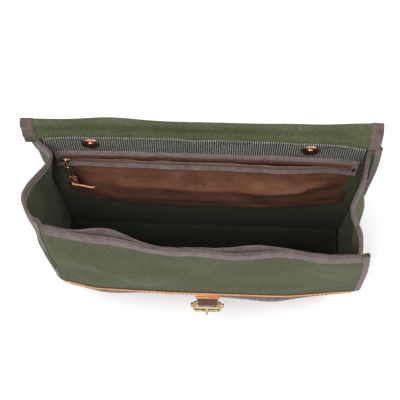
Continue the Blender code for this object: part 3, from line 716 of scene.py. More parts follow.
OLIVE = srgb(44, 48, 31), srgb(74, 78, 53), srgb(112, 116, 82)
# Floor canvas: a darker copy of the olive as painted shade inside the bag, darkened further towards the bottom
# (0.35 of its colour left at the floor).
FLOOR_OLIVE_PAINTED_SHADE = srgb(30, 33, 22), srgb(48, 51, 36), srgb(68, 71, 50)
canvas = make_canvas("waxed_canvas_olive", *OLIVE)
canvas_floor_painted_shade = make_canvas("waxed_canvas_floor", *FLOOR_OLIVE_PAINTED_SHADE, (0.0, 0.060, 0.35))
# Canvas with painted shade: 0.30 of its colour at the foot, full colour above 0.125 m; used on the inner faces of
# the front and back.
canvas_wall_painted_shade = make_canvas("waxed_canvas_wall", *OLIVE, (0.015, 0.125, 0.30))
binding_cloth = make_twill("binding_twill_mauve", srgb(54, 42, 41), srgb(108, 88, 83))
leather = make_leather("bridle_leather_brown", srgb(44, 18, 13), srgb(76, 36, 28), srgb(104, 62, 52))
raw_edge = make_raw_edge("raw_leather_edge", srgb(168, 104, 62), srgb(222, 164, 116))
lace_finish = make_raw_edge("tan_leather_lace", srgb(176, 112, 70), srgb(226, 172, 126))
webbing_finish = make_webbing("grey_webbing_weave", srgb(30, 31, 29), srgb(88, 88, 83), srgb(168, 168, 158))
zip_cloth = make_zip_tape("zip_tape_herringbone", srgb(92, 73, 70), srgb(150, 126, 120))
coil_finish = make_coil("zip_coil_brown", srgb(98, 62, 46), srgb(146, 104, 82))
nylon = make_nylon("pocket_lining_brown", srgb(52, 28, 17), srgb(102, 64, 46), srgb(140, 94, 72))
# Near-black copy of the pocket nylon: painted shade for the dark gap behind the open zip, on a back lining that
# the pocket does have.
lining_painted_shade = make_nylon("pocket_back_lining_dark", srgb(14, 10, 8), srgb(24, 17, 14), srgb(36, 26, 22))
copper = make_metal("copper_polished", srgb(190, 130, 104), srgb(238, 190, 162), 0.24)
brass = make_metal("brass_antique", srgb(108, 88, 50), srgb(204, 178, 118), 0.28)
thread_mauve = make_thread("thread_mauve", srgb(96, 82, 80), srgb(156, 142, 138))
thread_dark = make_thread("thread_dark", srgb(30, 28, 26), srgb(66, 62, 58))
thread_tan = make_thread("thread_tan", srgb(150, 112, 74), srgb(206, 168, 124))


def settle(made, body="root", nodes=()):
    """Puts a finished piece on its body and in place of its CAD nodes."""
    if body:
        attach(made, body)
    if nodes:
        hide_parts(*nodes)
    return made


def bind(name, edge, into, nodes=(), seed=1, half_gap=CANVAS / 2 + 0.0002, leg=BINDING_LEG, hold=settle):
    """Folds tape over an edge, puts it in place, and returns the two lines that it is sewn along."""
    folded, lines = tape(edge, into, half_gap, leg, seed)
    hold(sheet(name, folded, TAPE, binding_cloth), nodes=nodes)
    return lines


def cut_leather(name, rows, thickness, body, nodes, soft=0.0005):
    """A piece of leather with raw, slightly rounded edges."""
    made = sheet(name, rows, thickness, leather, edge=raw_edge)
    soften(made, soft)
    return settle(made, body, nodes)


def soften(made, width):
    edge = made.modifiers.new("soft_edges", "BEVEL")
    edge.width = width
    edge.segments = 2
    edge.limit_method = "ANGLE"
    edge.angle_limit = radians(50)
    edge.harden_normals = False


# ---- canvas shell ---------------------------------------------------------------------------

# Each crease: place of one end, place of the other, width, height
FRONT_CREASES = (
    (-0.140, 0.205, -0.045, 0.168, 0.0050, 0.0016),
    (-0.150, 0.180, -0.095, 0.150, 0.0060, 0.0014),
    (0.095, 0.236, 0.160, 0.205, 0.0050, 0.0014),
    (0.120, 0.226, 0.166, 0.180, 0.0045, 0.0018),
    (0.060, 0.158, 0.150, 0.172, 0.0055, 0.0013),
    (-0.060, 0.156, 0.010, 0.150, 0.0050, 0.0010),
)
BACK_CREASES = (
    (0.060, 0.118, 0.130, 0.150, 0.0070, 0.0022),
    (0.085, 0.116, 0.150, 0.136, 0.0060, 0.0018),
    (-0.150, 0.110, -0.100, 0.060, 0.0070, 0.0014),
)
GUSSET_CREASES = (
    (-0.045, 0.245, -0.020, 0.150, 0.0080, -0.0030),
    (0.010, 0.245, 0.014, 0.160, 0.0090, 0.0026),
    (-0.030, 0.120, 0.020, 0.070, 0.0070, 0.0018),
    (0.030, 0.235, 0.020, 0.120, 0.0060, -0.0016),
)
BOOT_CREASES = (
    (0.030, 0.128, 0.120, 0.120, 0.0060, 0.0012),
    (-0.120, 0.120, -0.050, 0.100, 0.0070, 0.0010),
)
POCKET_CREASES = (
    (0.110, 0.186, 0.148, 0.160, 0.0045, 0.0018),
    (0.075, 0.182, 0.150, 0.150, 0.0040, 0.0014),
    (0.060, 0.160, 0.150, 0.172, 0.0035, 0.0014),
    (-0.120, 0.184, -0.080, 0.160, 0.0060, 0.0010),
    (-0.100, 0.167, 0.080, 0.164, 0.0030, 0.0012),
    (0.080, 0.164, 0.160, 0.178, 0.0030, 0.0012),
)


def edge_shares(half):
    return np.linspace(0, 1, int(2 * half / CELL))


def heights(low, high):
    return np.linspace(low, high, int(ceil((high - low) / CELL)) + 1)


# Seam allowances: which way each turns in plan, and its width at the foot and at the mouth
FLANGES = {
    ("front", -1): ((-0.80, 0.60), 0.0060, 0.0115),
    ("front", 1): ((0.97, 0.24), 0.0066, 0.0070),
    ("back", -1): ((-0.35, 0.94), 0.0080, 0.0080),
    ("back", 1): ((0.99, 0.14), 0.0080, 0.0115),
}


def flange(panel, side, z, share=1.0):
    """Offset from a corner to a place in its seam allowance."""
    (x, y), low, high = FLANGES[panel, side]
    reach = share * mix(low, high, smooth(0.120, 0.230, z))
    return np.stack([x * reach, y * reach, 0 * reach], -1)


def with_flange(grid, panel):
    """Adds seam allowance beyond both side columns of a front or back panel."""
    shares = np.linspace(1, 0.2, 5)
    left = [grid[:, :1] + flange(panel, -1, grid[:, :1, 2], s) for s in shares]
    right = [grid[:, -1:] + flange(panel, 1, grid[:, -1:, 2], s) for s in shares[::-1]]
    return np.concatenate(left + [grid] + right, 1)


def shaped(points, relief_height):
    """Moves a grid of points along its normals."""
    return points + normals_of(points) * relief_height[..., None]


def gape(x):
    """Room between the two layers of the front rim, where the mouth of the front pocket opens."""
    return 0.0035 + 0.0050 * gaping(x)


def gaping(x):
    return np.maximum(bump(x, -0.098, 0.026), 0.8 * bump(x, 0.054, 0.028))


def make_front():
    """The front's outer and inner cloth, with the mouth of the front pocket between their bound rims."""
    z, u = np.meshgrid(heights(PANEL_FOOT, RIM_TOP), edge_shares(0.165), indexing="ij")
    outer = with_flange(front_surface(u, z), "front")
    x, z_out = outer[..., 0], outer[..., 2]
    near_rim = smooth(0.200, RIM_TOP, z_out)
    wave = 0.0009 * rumple(x, z_out, 11, 0.060, (1.6, 1.0)) + creases(x, z_out, FRONT_CREASES)
    wave *= smooth(0.0, 0.012, CORNER_X - np.abs(x)) * (1 - 0.6 * smooth(0.235, RIM_TOP, z_out))
    wave *= smooth(0.143, 0.162, z_out)
    outer = shaped(outer, wave)
    outer[..., 1] -= 0.0010 * rumple(x, 0 * x, 5, 0.090) * near_rim
    outer[..., 2] += 0.0012 * rumple(x, 0 * x, 6, 0.110) * near_rim
    cloth = sheet("front_pocket_cloth", outer, CANVAS, canvas, relief=wave / 0.0018)
    settle(cloth, "root", ["front_pocket_panel"])

    inner = front_surface(np.clip(u, 0.004, 0.996), z)
    x, z_in = inner[..., 0], inner[..., 2]
    near_rim = smooth(0.200, RIM_TOP, z_in)
    inner[..., 1] += mix(0.0046, gape(x), smooth(0.130, 0.250, z_in))
    inner[..., 1] -= 0.0010 * rumple(x, 0 * x, 5, 0.090) * near_rim
    inner[..., 2] -= (0.0052 - 0.0040 * gaping(x)) * near_rim
    wave = 0.0007 * rumple(x, z_in, 12, 0.050, (1.3, 1.0)) * (1 - smooth(0.21, RIM_TOP, z_in))
    inner = shaped(inner, wave)
    # Inner face of the front, in the canvas with painted shade that darkens towards the bottom.
    cloth = sheet("front_inner_cloth", inner, CANVAS, canvas_wall_painted_shade, relief=wave / 0.0018)
    settle(cloth, "root", ["front_panel"])

    top, below = outer[-1, 5:-5], outer[-2, 5:-5]
    tracks = bind("front_outer_rim_tape", top, below - top, ["pocket_rim_binding"], 21)
    tracks += bind("front_inner_rim_tape", inner[-1], inner[-2] - inner[-1], ["front_rim_binding"], 22)
    settle(stitches("rim_stitches", tracks, thread_mauve))
    return outer


def make_gusset(side, word):
    """A side wall, its seam allowances turned out alongside those of the front and the back."""
    z, u = np.meshgrid(heights(GUSSET_FOOT, GUSSET_TOP), np.linspace(0, 1, 44), indexing="ij")
    grid = gusset_surface(side, u, z)
    y, z_on = grid[..., 1], grid[..., 2]
    wave = 0.0011 * rumple(y, z_on, 31 + side, 0.045, (1.0, 1.6)) + creases(y, z_on, GUSSET_CREASES)
    wave *= np.sin(pi * np.clip(u, 0.0, 1.0)) ** 0.7
    wave *= 1 - 0.5 * smooth(0.225, 0.250, z_on)
    grid[..., 0] += side * wave
    grid[..., 2] += 0.0030 * smooth(0.19, 0.25, z_on) * (bump(u, 0.0, 0.10) + bump(u, 1.0, 0.10))

    def turned_out(panel, at):
        shares = (0.94, 0.74, 0.54, 0.34, 0.16)
        return [grid[:, at] + flange(panel, side, grid[:, at, 2], share) for share in shares]

    front, back = turned_out("front", 0), turned_out("back", -1)
    grid = np.concatenate([np.stack(front, 1), grid, np.stack(back[::-1], 1)], 1)
    if side > 0:
        grid = grid[:, ::-1]
    relief = np.pad(wave, ((0, 0), (len(front), len(back)))) / 0.0025
    wall = sheet(f"gusset_cloth_{word}", grid, CANVAS, canvas, relief=relief * side)
    settle(wall, "root", [f"gusset_{word}"])
    top, below = grid[-1, 5:-5], grid[-2, 5:-5]
    return bind(f"gusset_rim_tape_{word}", top, below - top, [f"gusset_binding_{word}"], 40 + side)


def make_side_seams(front):
    """The bound corner seams, front and back."""
    tracks = []
    layers, leg = CANVAS + 0.0004, 0.0058
    inside = np.array([0, CANVAS * 0.5 + GAP, 0])
    z = heights(PANEL_FOOT, BACK_TOP - 0.002)
    for side, word, at in ((-1, "left", 0), (1, "right", -1)):
        edge = front[1:, at] + inside
        into = -flange("front", side, edge[:, 2])
        node = f"front_seam_binding_{word}"
        tracks += bind(f"front_corner_tape_{word}", edge, into, [node], 50 + side, layers, leg)
        into = -flange("back", side, z)
        edge = back_surface(np.full_like(z, float(side > 0)), z) - into - inside
        node = f"back_seam_binding_{word}"
        tracks += bind(f"back_corner_tape_{word}", edge, into, [node], 55 + side, layers, leg)
    return tracks


def make_back():
    """Back wall from its foot to behind the webbing."""
    z, u = np.meshgrid(heights(PANEL_FOOT, 0.249), edge_shares(0.172), indexing="ij")
    grid = with_flange(back_surface(u, z), "back")
    x, z_on = grid[..., 0], grid[..., 2]
    wave = 0.0010 * rumple(x, z_on, 61, 0.070) + creases(x, z_on, BACK_CREASES)
    wave *= smooth(0.0, 0.010, CORNER_X - np.abs(x)) * (1 - 0.9 * smooth(0.150, 0.195, z_on))
    wave *= smooth(0.108, 0.125, z_on)
    grid = shaped(grid, wave)
    # Back wall, in the canvas with painted shade that darkens towards the bottom.
    cloth = sheet("back_wall_cloth", grid, CANVAS, canvas_wall_painted_shade, relief=wave / 0.002)
    settle(cloth)


def make_base():
    """The canvas floor, its edges turned up inside the boot."""
    front, back = BASE_FRONT_Y + BASE_INSET, BACK_BASE_Y - BASE_INSET
    front_edge, back_edge = front - 0.0072, back + 0.0090
    y, share = np.meshgrid(np.linspace(front_edge, back_edge, 60), np.linspace(-1, 1, 130), indexing="ij")
    back_share = (y - front_edge) / (back_edge - front_edge)
    left = mix(FRONT_LEFT[0], BACK_LEFT[0], back_share)
    right = mix(FRONT_RIGHT[0], BACK_RIGHT[0], back_share)
    x = share * np.where(share < 0, left, right)
    rim = 0.030 * smooth(back - 0.030, back_edge, y) ** 2
    rim = rim + 0.022 * smooth(-front - 0.010, -front_edge, -y) ** 2
    turned_up = np.maximum(rim, 0.026 * smooth(0.86, 1.0, np.abs(share)) ** 2)
    z = LEATHER + GAP + CANVAS / 2 + turned_up + 0.0008 * np.abs(rumple(x, y, 71, 0.050))
    x = 0.994 * x + np.sign(share) * 0.0058 * np.sin(pi * back_share) * smooth(0.80, 1.0, np.abs(share))
    grid = np.stack([x, y, z], -1)
    # The floor cloth, in the canvas with painted shade.
    cloth = settle(sheet("base_cloth", grid, CANVAS, canvas_floor_painted_shade), "root", ["base_panel"])


def boot_grid():
    """The leather from its front edge, down, under the base and up the back; and its rows on the front."""
    shares = edge_shares(0.160)
    rises = heights(CORNER_RISE, BOOT_FRONT_TOP)[::-1]
    front = np.array([front_surface(shares, np.full_like(shares, z)) for z in rises])
    rises = heights(CORNER_RISE, BOOT_BACK_TOP)
    back = np.array([back_surface(shares, np.full_like(shares, z)) for z in rises])
    front[..., 1] -= LAYER + 0.0002
    back[..., 1] += LAYER + 0.0002
    under = []
    for t in np.linspace(0, 1, 26)[1:-1]:
        row = mix(front[-1], back[0], t)
        drop = np.clip(1 - (2 * t - 1) ** 8, 0, 1) ** 0.5
        row[:, 2] = mix(CORNER_RISE, LEATHER / 2 + 0.0001, drop)
        under.append(row)
    grid = np.concatenate([front, np.array(under), back], 0)
    grid[..., 0] *= 1 - 0.0015 / 0.165
    return grid, len(front)


def make_boot():
    grid, front_rows = boot_grid()
    x, z = grid[..., 0], grid[..., 2]
    wave = 0.0007 * rumple(x, z, 81, 0.055) * smooth(0.014, 0.040, z) * (1 - smooth(0.128, 0.145, z))
    wave[:front_rows] += creases(x, z, BOOT_CREASES)[:front_rows]
    flip = grid[::-1]
    cut_leather("boot_leather", shaped(flip, wave[::-1]), LEATHER, "root", ["leather_boot"])
    normal = normals_of(flip)[::-1]
    tracks = [
        ((grid[row] + normal[row] * LEATHER / 2)[2:-2], normal[row][2:-2])
        for row in (2, -3)
    ]
    settle(stitches("boot_stitches", tracks, thread_dark, length=0.0034, pitch=0.0048, radius=0.00038))


# ---- inside of the back wall ---------------------------------------------------------------


def wall_grid(low, high, left, right, out, thickness, wide=0.003, tall=0.003):
    zs = np.linspace(low, high, max(3, int(ceil((high - low) / tall)) + 1))
    xs = np.linspace(-left, right, int((left + right) / wide))
    z, x = np.meshgrid(zs, xs, indexing="ij")
    return np.stack([x, wall_y(z, out + thickness / 2, x), z], -1)


def make_webbing_strip():
    """The band behind the rivets, with a sewn box round each of them and a line along both edges."""
    grid = wall_grid(WEBBING_LOW, WEBBING_HIGH, 0.172, 0.175, 0, WEBBING, tall=0.002)
    x, z = grid[..., 0], grid[..., 2]
    grid[..., 1] -= 0.0004 * rumple(x, z, 91, 0.045)
    grid[..., 1] += 0.0003 * (bump(z, WEBBING_LOW, 0.0016) + bump(z, WEBBING_HIGH, 0.0016))
    settle(sheet("webbing_band", grid, WEBBING, webbing_finish), "root", ["webbing_strip"])
    tracks = []

    def sew(xs, zs):
        xs, zs = np.broadcast_arrays(xs, zs)
        tracks.append(track(np.stack([xs, wall_y(zs, WEBBING, xs) - 0.0003, zs], -1), FORWARD))

    low, high, box_half = WEBBING_LOW + 0.004, WEBBING_HIGH - 0.004, 0.020
    for centre in RIVET_XS.values():
        for side, level in ((-1, low), (1, high)):
            sew(centre + side * box_half, np.linspace(low, high, 20))
            sew(np.linspace(centre - box_half, centre + box_half, 20), level)
    for level in (WEBBING_LOW + 0.0016, WEBBING_HIGH - 0.0016):
        sew(np.linspace(-WEBBING_HALF + 0.002, WEBBING_HALF - 0.002, 60), level)
    settle(stitches("webbing_stitches", tracks, thread_dark, pitch=0.0032))


def zip_hang(x, z):
    """How far the open zip's lower side hangs out from the wall and down; nothing above the teeth."""
    x, z = np.asarray(x, float), np.asarray(z, float)
    below = np.where(z < ZIP_CENTRE, 1.0, 0.0)
    middle = np.clip(1 - ((x + 0.010) / 0.150) ** 2, 0, 1) ** 0.6
    out = below * (0.0022 * middle + 0.0014 * bump(x, 0.095, 0.040))
    fall = below * (0.0024 * middle * (1 - 0.75 * smooth(0.060, 0.120, x)) + 0.0030 * bump(x, 0.098, 0.040))
    return out, fall


def make_zip():
    """Two tapes, the pocket's lining behind them and a coil of separate turns on each tape."""
    upper_row = ZIP_CENTRE + ZIP_ROW_GAP / 2
    lower_row = ZIP_CENTRE - ZIP_ROW_GAP / 2 - ZIP_ROW
    for word, low, high, lowered in (
        ("upper", upper_row, TAPE_HIGH, 0), ("lower", TAPE_LOW, lower_row + ZIP_ROW, 0.004),
    ):
        grid = wall_grid(low, high, TAPE_LEFT, TAPE_RIGHT, ZIP_OUT, TAPE, tall=0.0018)
        x, z = grid[..., 0].copy(), grid[..., 2].copy()
        out, fall = zip_hang(x, z - lowered)
        grid[..., 1] -= out + 0.00025 * rumple(x, z, 95, 0.030)
        grid[..., 2] -= fall
        settle(sheet(f"zip_tape_cloth_{word}", grid, TAPE, zip_cloth), "root", [f"zip_tape_{word}"])
    tracks = []
    for level in (TAPE_HIGH - 0.0028, TAPE_LOW + 0.0030):
        xs = np.linspace(-TAPE_LEFT + 0.003, TAPE_RIGHT - 0.003, 80)
        out, fall = zip_hang(xs, level)
        zs = level - fall
        line = np.stack([xs, wall_y(zs, ZIP_OUT + TAPE, xs) - out - 0.0002, zs], -1)
        tracks.append(track(line, FORWARD))
    settle(stitches("zip_tape_stitches", tracks, thread_mauve))
    left, right, thin = TAPE_LEFT - 0.006, TAPE_RIGHT - 0.006, 0.0006
    # Back lining behind the zip, coloured near black as painted shade for the gap between the zip rows.
    lining = wall_grid(TAPE_LOW - 0.002, TAPE_HIGH - 0.004, left, right, 0.0002, thin)
    cloth = settle(sheet("pocket_back_lining", lining, thin, lining_painted_shade))
    make_coil_row("upper", upper_row + 0.0019, 0.0, 0.0038)
    make_coil_row("lower", lower_row + 0.0003, 0.45, 0.0017)


def make_coil_row(word, low, shift, reach):
    """Coil turns as short fat rounded bars, each slanted a little across the row."""
    turns = []
    for k in range(int((TEETH_LEFT + TEETH_RIGHT) / TOOTH_PITCH)):
        x = -TEETH_LEFT + (k + 0.5 + shift) * TOOTH_PITCH
        out, fall = (0.0, 0.0) if word == "upper" else zip_hang(x, TAPE_LOW)
        z = low + ZIP_ROW / 2 - float(fall)
        y = wall_y(z, ZIP_OUT + TAPE + GAP + 0.0007, x) - float(out)
        start = np.array([x - 0.0003, y - 0.0008, z - reach])
        run = np.array([0.0006, 0.0008, 2 * reach])
        around = circle(unit(np.cross(run, FORWARD)) * 0.00050, np.array(FORWARD) * 0.00085, 6)
        turns.append([
            start + run * share + around * wide
            for share, wide in ((0.0, 0.35), (0.14, 0.95), (0.5, 1.0), (0.86, 0.95), (1.0, 0.35))
        ])
    settle(rods(f"zip_coil_{word}", turns, coil_finish), "root", [f"zip_teeth_{word}"])


def make_stops():
    """A crimped bar over both rows of the zip at each end."""
    y = wall_y(ZIP_CENTRE, ZIP_OUT + TAPE + GAP + 0.0012)
    for word, x in (("left", -TEETH_LEFT - 0.0019), ("right", TEETH_RIGHT + 0.0019)):
        around = circle(np.array([0.0015, 0, 0]), np.array([0, 0.0010, 0]), 16)
        rings = [
            np.array([x, y, ZIP_CENTRE + mix(-0.0040, 0.0040, share)]) + around * wide
            for share, wide in ((0, 0.55), (0.12, 0.9), (0.3, 1), (0.7, 1), (0.88, 0.9), (1, 0.55))
        ]
        settle(swept(f"zip_stop_bar_{word}", rings, copper), "root", [f"zip_stop_{word}"])


def make_slider():
    """Slider body with its humped back, the pull's bridge, wire, riveted leather tag and lace."""
    face = wall_y(ZIP_CENTRE, ZIP_OUT + TAPE + GAP + ZIP_ROW + 2 * GAP, SLIDER_X)
    slid = SLIDER_X + ZIP_SHIFT
    around = circle(np.array([0, 0, 1.0]), np.array([0, 1.0, 0]), 24)
    squarish = np.sign(around) * np.abs(around) ** 0.6
    rings = [
        np.array([slid + SLIDER_LENGTH * (share - 0.5), face - 0.0008, ZIP_CENTRE])
        + squarish * [0, 0.0009 * deep, 0.0046 * wide]
        for share, wide, deep in (
            (0, 0.55, 0.6), (0.10, 0.80, 0.9), (0.35, 1.0, 1.0),
            (0.65, 0.9, 1.0), (0.9, 0.62, 0.9), (1, 0.45, 0.6),
        )
    ]
    settle(swept("slider_body", rings, copper), "zip_slider", ["zip_slider"])
    pivot_y = wall_y(ZIP_CENTRE - ZIP_RAISED, ZIP_OUT + TAPE + GAP + ZIP_ROW + 2 * GAP) - 0.0028
    root = np.array([SLIDER_X, pivot_y, ZIP_CENTRE - ZIP_RAISED - PULL_PIVOT_DROP])
    bridge = rounded([
        (slid, face - 0.0010, ZIP_CENTRE + 0.0034), (slid, face - 0.0036, ZIP_CENTRE + 0.0020),
        (slid, pivot_y - 0.0016, root[2] - 0.0006), (slid, pivot_y + 0.0012, root[2] - 0.0016),
        (slid, face - 0.0010, ZIP_CENTRE - 0.0044),
    ], 0.0010, closed=False)
    settle(tube("slider_bridge", bridge, 0.0009, copper, sides=14), "zip_slider")
    down = np.array([0, -sin(PULL_LEAN), -cos(PULL_LEAN)])
    out = np.array([0, -cos(PULL_LEAN), sin(PULL_LEAN)])

    def hanging(x, fall, forward=0.0):
        slant = ZIP_SHIFT + 0.0045 * min(fall / PULL_WIRE, 1.15)
        return root + np.array([x + slant, 0, 0]) + down * fall + out * forward

    half = 0.0030
    wire = [hanging(-half, 0), hanging(half, 0)]
    wire += [hanging(half * 0.75, PULL_WIRE), hanging(-half * 0.75, PULL_WIRE)]
    wire = tube("pull_wire_loop", rounded(wire, 0.0020), 0.0007, copper, closed=True, sides=14)
    settle(wire, "zip_pull", ["zip_pull_wire"])
    eye, layer, end = 0.0018, 0.0014, PULL_WIRE + PULL_TAG
    front_run = ((1, eye - 0.0004), (0.6, eye - 0.0010), (0.25, eye - 0.0003), (0, eye))
    back_run = ((0, -eye), (0.25, -eye + 0.0003), (0.5, -eye + 0.0008), (0.7, -eye + 0.0006))
    profile = [(PULL_WIRE + PULL_TAG * share, forward) for share, forward in front_run]
    profile += [(PULL_WIRE - eye * sin(t), eye * cos(t)) for t in np.linspace(0, pi, 8)[1:-1]]
    profile += [(PULL_WIRE + PULL_TAG * share, forward) for share, forward in back_run]
    rows = []
    for fall, forward in curve_through(np.pad(profile, ((0, 0), (0, 1))), 46)[:, :2]:
        wide = mix(0.0019, 0.0048, float(smooth(PULL_WIRE - 0.001, PULL_WIRE + 0.005, fall)))
        wide *= 1 - 0.25 * float(smooth(end - 0.003, end, fall))
        rows.append([hanging(a, fall, forward) for a in np.linspace(-wide, wide, 8)])
    cut_leather("pull_tag", np.array(rows), layer, "zip_pull", ["zip_pull_leather"], 0.0003)
    lace_start = PULL_WIRE + PULL_TAG * 0.36
    spot = hanging(0, lace_start, eye + layer / 2 - 0.0006)
    cap = (
        (0.0004, -0.0006), (0.0020, -0.0006), (0.0032, -0.0002), (0.0034, 0.0004), (0.0026, 0.0010),
        (0.0014, 0.0013), (0.0003, 0.0014),
    )
    settle(turned("pull_tag_rivet", cap, spot, out, copper), "zip_pull")
    top = eye + layer / 2 + 0.0016
    path = curve_through([
        hanging(-0.0005, lace_start - 0.0005, top), hanging(0.0060, lace_start + 0.0008, top + 0.0004),
        hanging(0.0130, lace_start + 0.0030, top - 0.0002), hanging(0.0200, lace_start + 0.0048, top + 0.0003),
        hanging(0.0245, lace_start + 0.0050, top),
    ], 30)
    lace = tube("pull_lace", path, np.linspace(0.0010, 0.0008, 30), lace_finish, sides=12)
    settle(lace, "zip_pull", ["zip_pull_lace"])


def make_pocket():
    """The brown bag of the zip pocket: out from the tape, over its soft fold, back to the wall."""
    xs = np.linspace(-POCKET_LEFT, POCKET_RIGHT, 118)
    middle = (POCKET_RIGHT - POCKET_LEFT) / 2
    share = (xs - middle) / (POCKET_LEFT + POCKET_RIGHT) * 2
    side = np.clip(1 - np.abs(share) ** 7, 0, 1)
    lift = 0.008 * np.abs(share) ** 4 + 0.003 * bump(xs, 0.14, 0.03)
    fullness = 1 + 0.05 * np.sin(xs * 34 + 0.6)
    fullness *= (1 - 0.50 * smooth(0.090, 0.165, xs)) * (1 - 0.40 * smooth(0.060, 0.146, -xs))
    open_out, fall = zip_hang(xs, TAPE_LOW)
    profile = (
        (0.106, 0.0012, 0), (0.108, 0.0050, 0), (0.117, 0.0088, 0), (0.140, 0.0112, 0), (0.1580, 0.0130, 0),
        (0.1655, 0.0133, 0), (0.1715, 0.0112, 0), (0.179, 0.0070, 0), (0.186, 0.0030, 0), (0.192, 0.0006, 0),
        (0.200, 0.0003, 0),
    )
    rows = []
    for z, out, _ in curve_through(profile, 60):
        low = 1 - float(smooth(0.150, 0.182, z))
        high = float(smooth(0.175, 0.192, z))
        zs = z + lift * low - fall * high
        y = wall_y(zs, out * side * mix(fullness, 1, high) + NYLON / 2 + open_out * high, xs)
        rows.append(np.stack([xs, y, zs], -1))
    grid = np.array(rows)
    x, z = grid[..., 0], grid[..., 2]
    wave = 0.0008 * rumple(x, z, 101, 0.036, (1.8, 1.0)) + creases(x, z, POCKET_CREASES)
    wave *= smooth(0, 0.014, np.minimum(POCKET_RIGHT - x, POCKET_LEFT + x))
    wave *= (1 - smooth(0.172, 0.186, z)) * smooth(0.108, 0.126, z)
    grid[..., 1] -= np.maximum(wave, -0.0012)
    cloth = sheet("pocket_lining_bag", grid, NYLON, nylon, relief=wave / 0.0016)
    settle(cloth, "root", ["zip_pocket_bag"])


# ---- rivets, ring tabs and rings ------------------------------------------------------------


def make_rivet(word, x):
    inwards = unit(np.array([0, -1, (BACK_TOP_Y - BACK_BASE_Y) / BACK_TOP]))
    high = RIVET_Z + 0.0045
    face = np.array([x, float(wall_y(high, WEBBING + 0.0003, x)), high])
    rim = RIVET_WASHER + 0.0008
    dish = [
        (0.0012, 0.0002), (0.0050, 0.0002), (rim - 0.0006, 0.0000), (rim, 0.0005), (rim - 0.0002, 0.0014),
        (rim - 0.0014, 0.0022), (rim - 0.0030, 0.0019), (rim - 0.0044, 0.0012), (0.0040, 0.0010), (0.0012, 0.0010),
    ]
    settle(turned(f"rivet_washer_{word}", dish, face, inwards, copper), "root")
    stud = [
        (0.0006, 0.0006), (0.0036, 0.0008), (0.0038, 0.0014),
        (0.0032, 0.0022), (0.0018, 0.0027), (0.0003, 0.0028),
    ]
    settle(turned(f"rivet_stud_{word}", stud, face, inwards, copper), "root", [f"rivet_{word}"])
    length = WEBBING + CANVAS + 2 * LEATHER + 8 * GAP
    shank = [(RIVET_SHANK * 0.9, 0.0), (RIVET_SHANK * 0.9, length), (0.0050, length), (0.0048, length + 0.0006),
             (0.0038, length + 0.0013), (0.0022, length + 0.0017), (0.0004, length + 0.0018)]
    settle(turned(f"rivet_head_{word}", shank, face, -inwards, copper), "root")


def make_ring_tab(word, x):
    first = CANVAS / 2 + GAP + LEATHER / 2
    second = first + LEATHER + GAP
    high, low = RIVET_Z + 0.012, RIVET_Z - 0.004
    bar_y = back_y(RING_Z) + RING_OUT
    eye = RING_ROD + GAP + LEATHER / 2
    pushed = float(bow(x, high))
    path = [(back_y(high) + pushed + first, high), (back_y(low) + pushed + first, low)]
    for turn in np.linspace(-0.80 * pi, 0.80 * pi, 18):
        path.append((bar_y + eye * sin(turn), RING_Z - eye * cos(turn)))
    path += [(back_y(low) + pushed + second, low), (back_y(high) + pushed + second, high)]
    line = resampled(np.array([(x, y, z) for y, z in path]), 60)
    shares = np.linspace(-1, 1, 14)
    rows = np.array([[p + np.array([s * RING_TAB_WIDTH / 2, 0, 0]) for s in shares] for p in line])
    cut_leather(f"ring_tab_leather_{word}", rows, LEATHER, "root", [f"ring_tab_{word}"])
    sewn_half, top = 0.0092, high - 0.003
    down = np.linspace(top, low + 0.002, 12)
    tracks = []
    across = np.linspace(x - sewn_half, x + sewn_half, 12)
    for xs, zs in ((x - sewn_half, down), (x + sewn_half, down), (across, top)):
        xs, zs = np.broadcast_arrays(xs, zs)
        ys = back_y(zs) + pushed + second + LEATHER / 2 + 0.0001
        tracks.append(track(np.stack([xs, ys, zs], -1), BACKWARD))
    name = f"ring_tab_stitches_{word}"
    settle(stitches(name, tracks, thread_tan, length=0.0028, pitch=0.0038, radius=0.00036))


def make_ring(word, x):
    bar_y = back_y(RING_Z) + RING_OUT
    half = RING_WIDTH / 2
    corners = [
        (x + a, bar_y, RING_Z - b)
        for a, b in ((-half, 0), (half, 0), (half, RING_DROP * 0.6), (half * 0.45, RING_DROP),
                     (-half * 0.45, RING_DROP), (-half, RING_DROP * 0.6))
    ]
    path = resampled(np.concatenate([rounded(corners, 0.0048), rounded(corners, 0.0048)[:1]]), 73)[:-1]
    settle(tube(f"ring_brass_{word}", path, RING_ROD, brass, closed=True), f"ring_{word}", [f"d_ring_{word}"])


# ---- buckle ---------------------------------------------------------------------------------


def boot_face_y(x, z):
    """Outer face of the leather at a place on the front."""
    left, right = half_width(FRONT_LEFT, z), half_width(FRONT_RIGHT, z)
    return float(front_surface((x + left) / (left + right), z)[1]) - LAYER - LEATHER / 2


def make_buckle_tab(bar):
    """Leather folded round the buckle's rear bar and sewn to the boot, wider towards its top."""
    eye = BUCKLE_ROD + GAP + LEATHER / 2
    heights_up = np.linspace(TAB_TOP - 0.010, TAB_TOP + 0.004, 5)
    inner = [(boot_face_y(BUCKLE_X, z) - LEATHER / 2 - 0.0002, z) for z in heights_up]
    path = inner[::-1]
    for turn in np.linspace(-0.70 * pi, 0.75 * pi, 18):
        path.append((bar[1] - eye * sin(turn), bar[2] - eye * cos(turn)))
    path += [(y - LEATHER - 0.0003, z) for y, z in inner]
    line = resampled(np.array([(BUCKLE_X, y, z) for y, z in path]), 64)
    half = mix(0.0110, 0.0140, smooth(REAR_BAR_Z, TAB_TOP, line[:, 2]))
    rows = line[:, None] + half[:, None, None] * np.linspace(-1, 1, 16)[:, None] * ACROSS
    cut_leather("buckle_tab_leather", rows, LEATHER, "root", ["buckle_tab"])
    tracks = [track(line[-16:] + [x, -LEATHER / 2 - 0.0001, 0], FORWARD) for x in (-0.0090, 0.0090)]
    settle(stitches("buckle_tab_stitches", tracks, thread_tan, length=0.0026, pitch=0.0036, radius=0.00034))


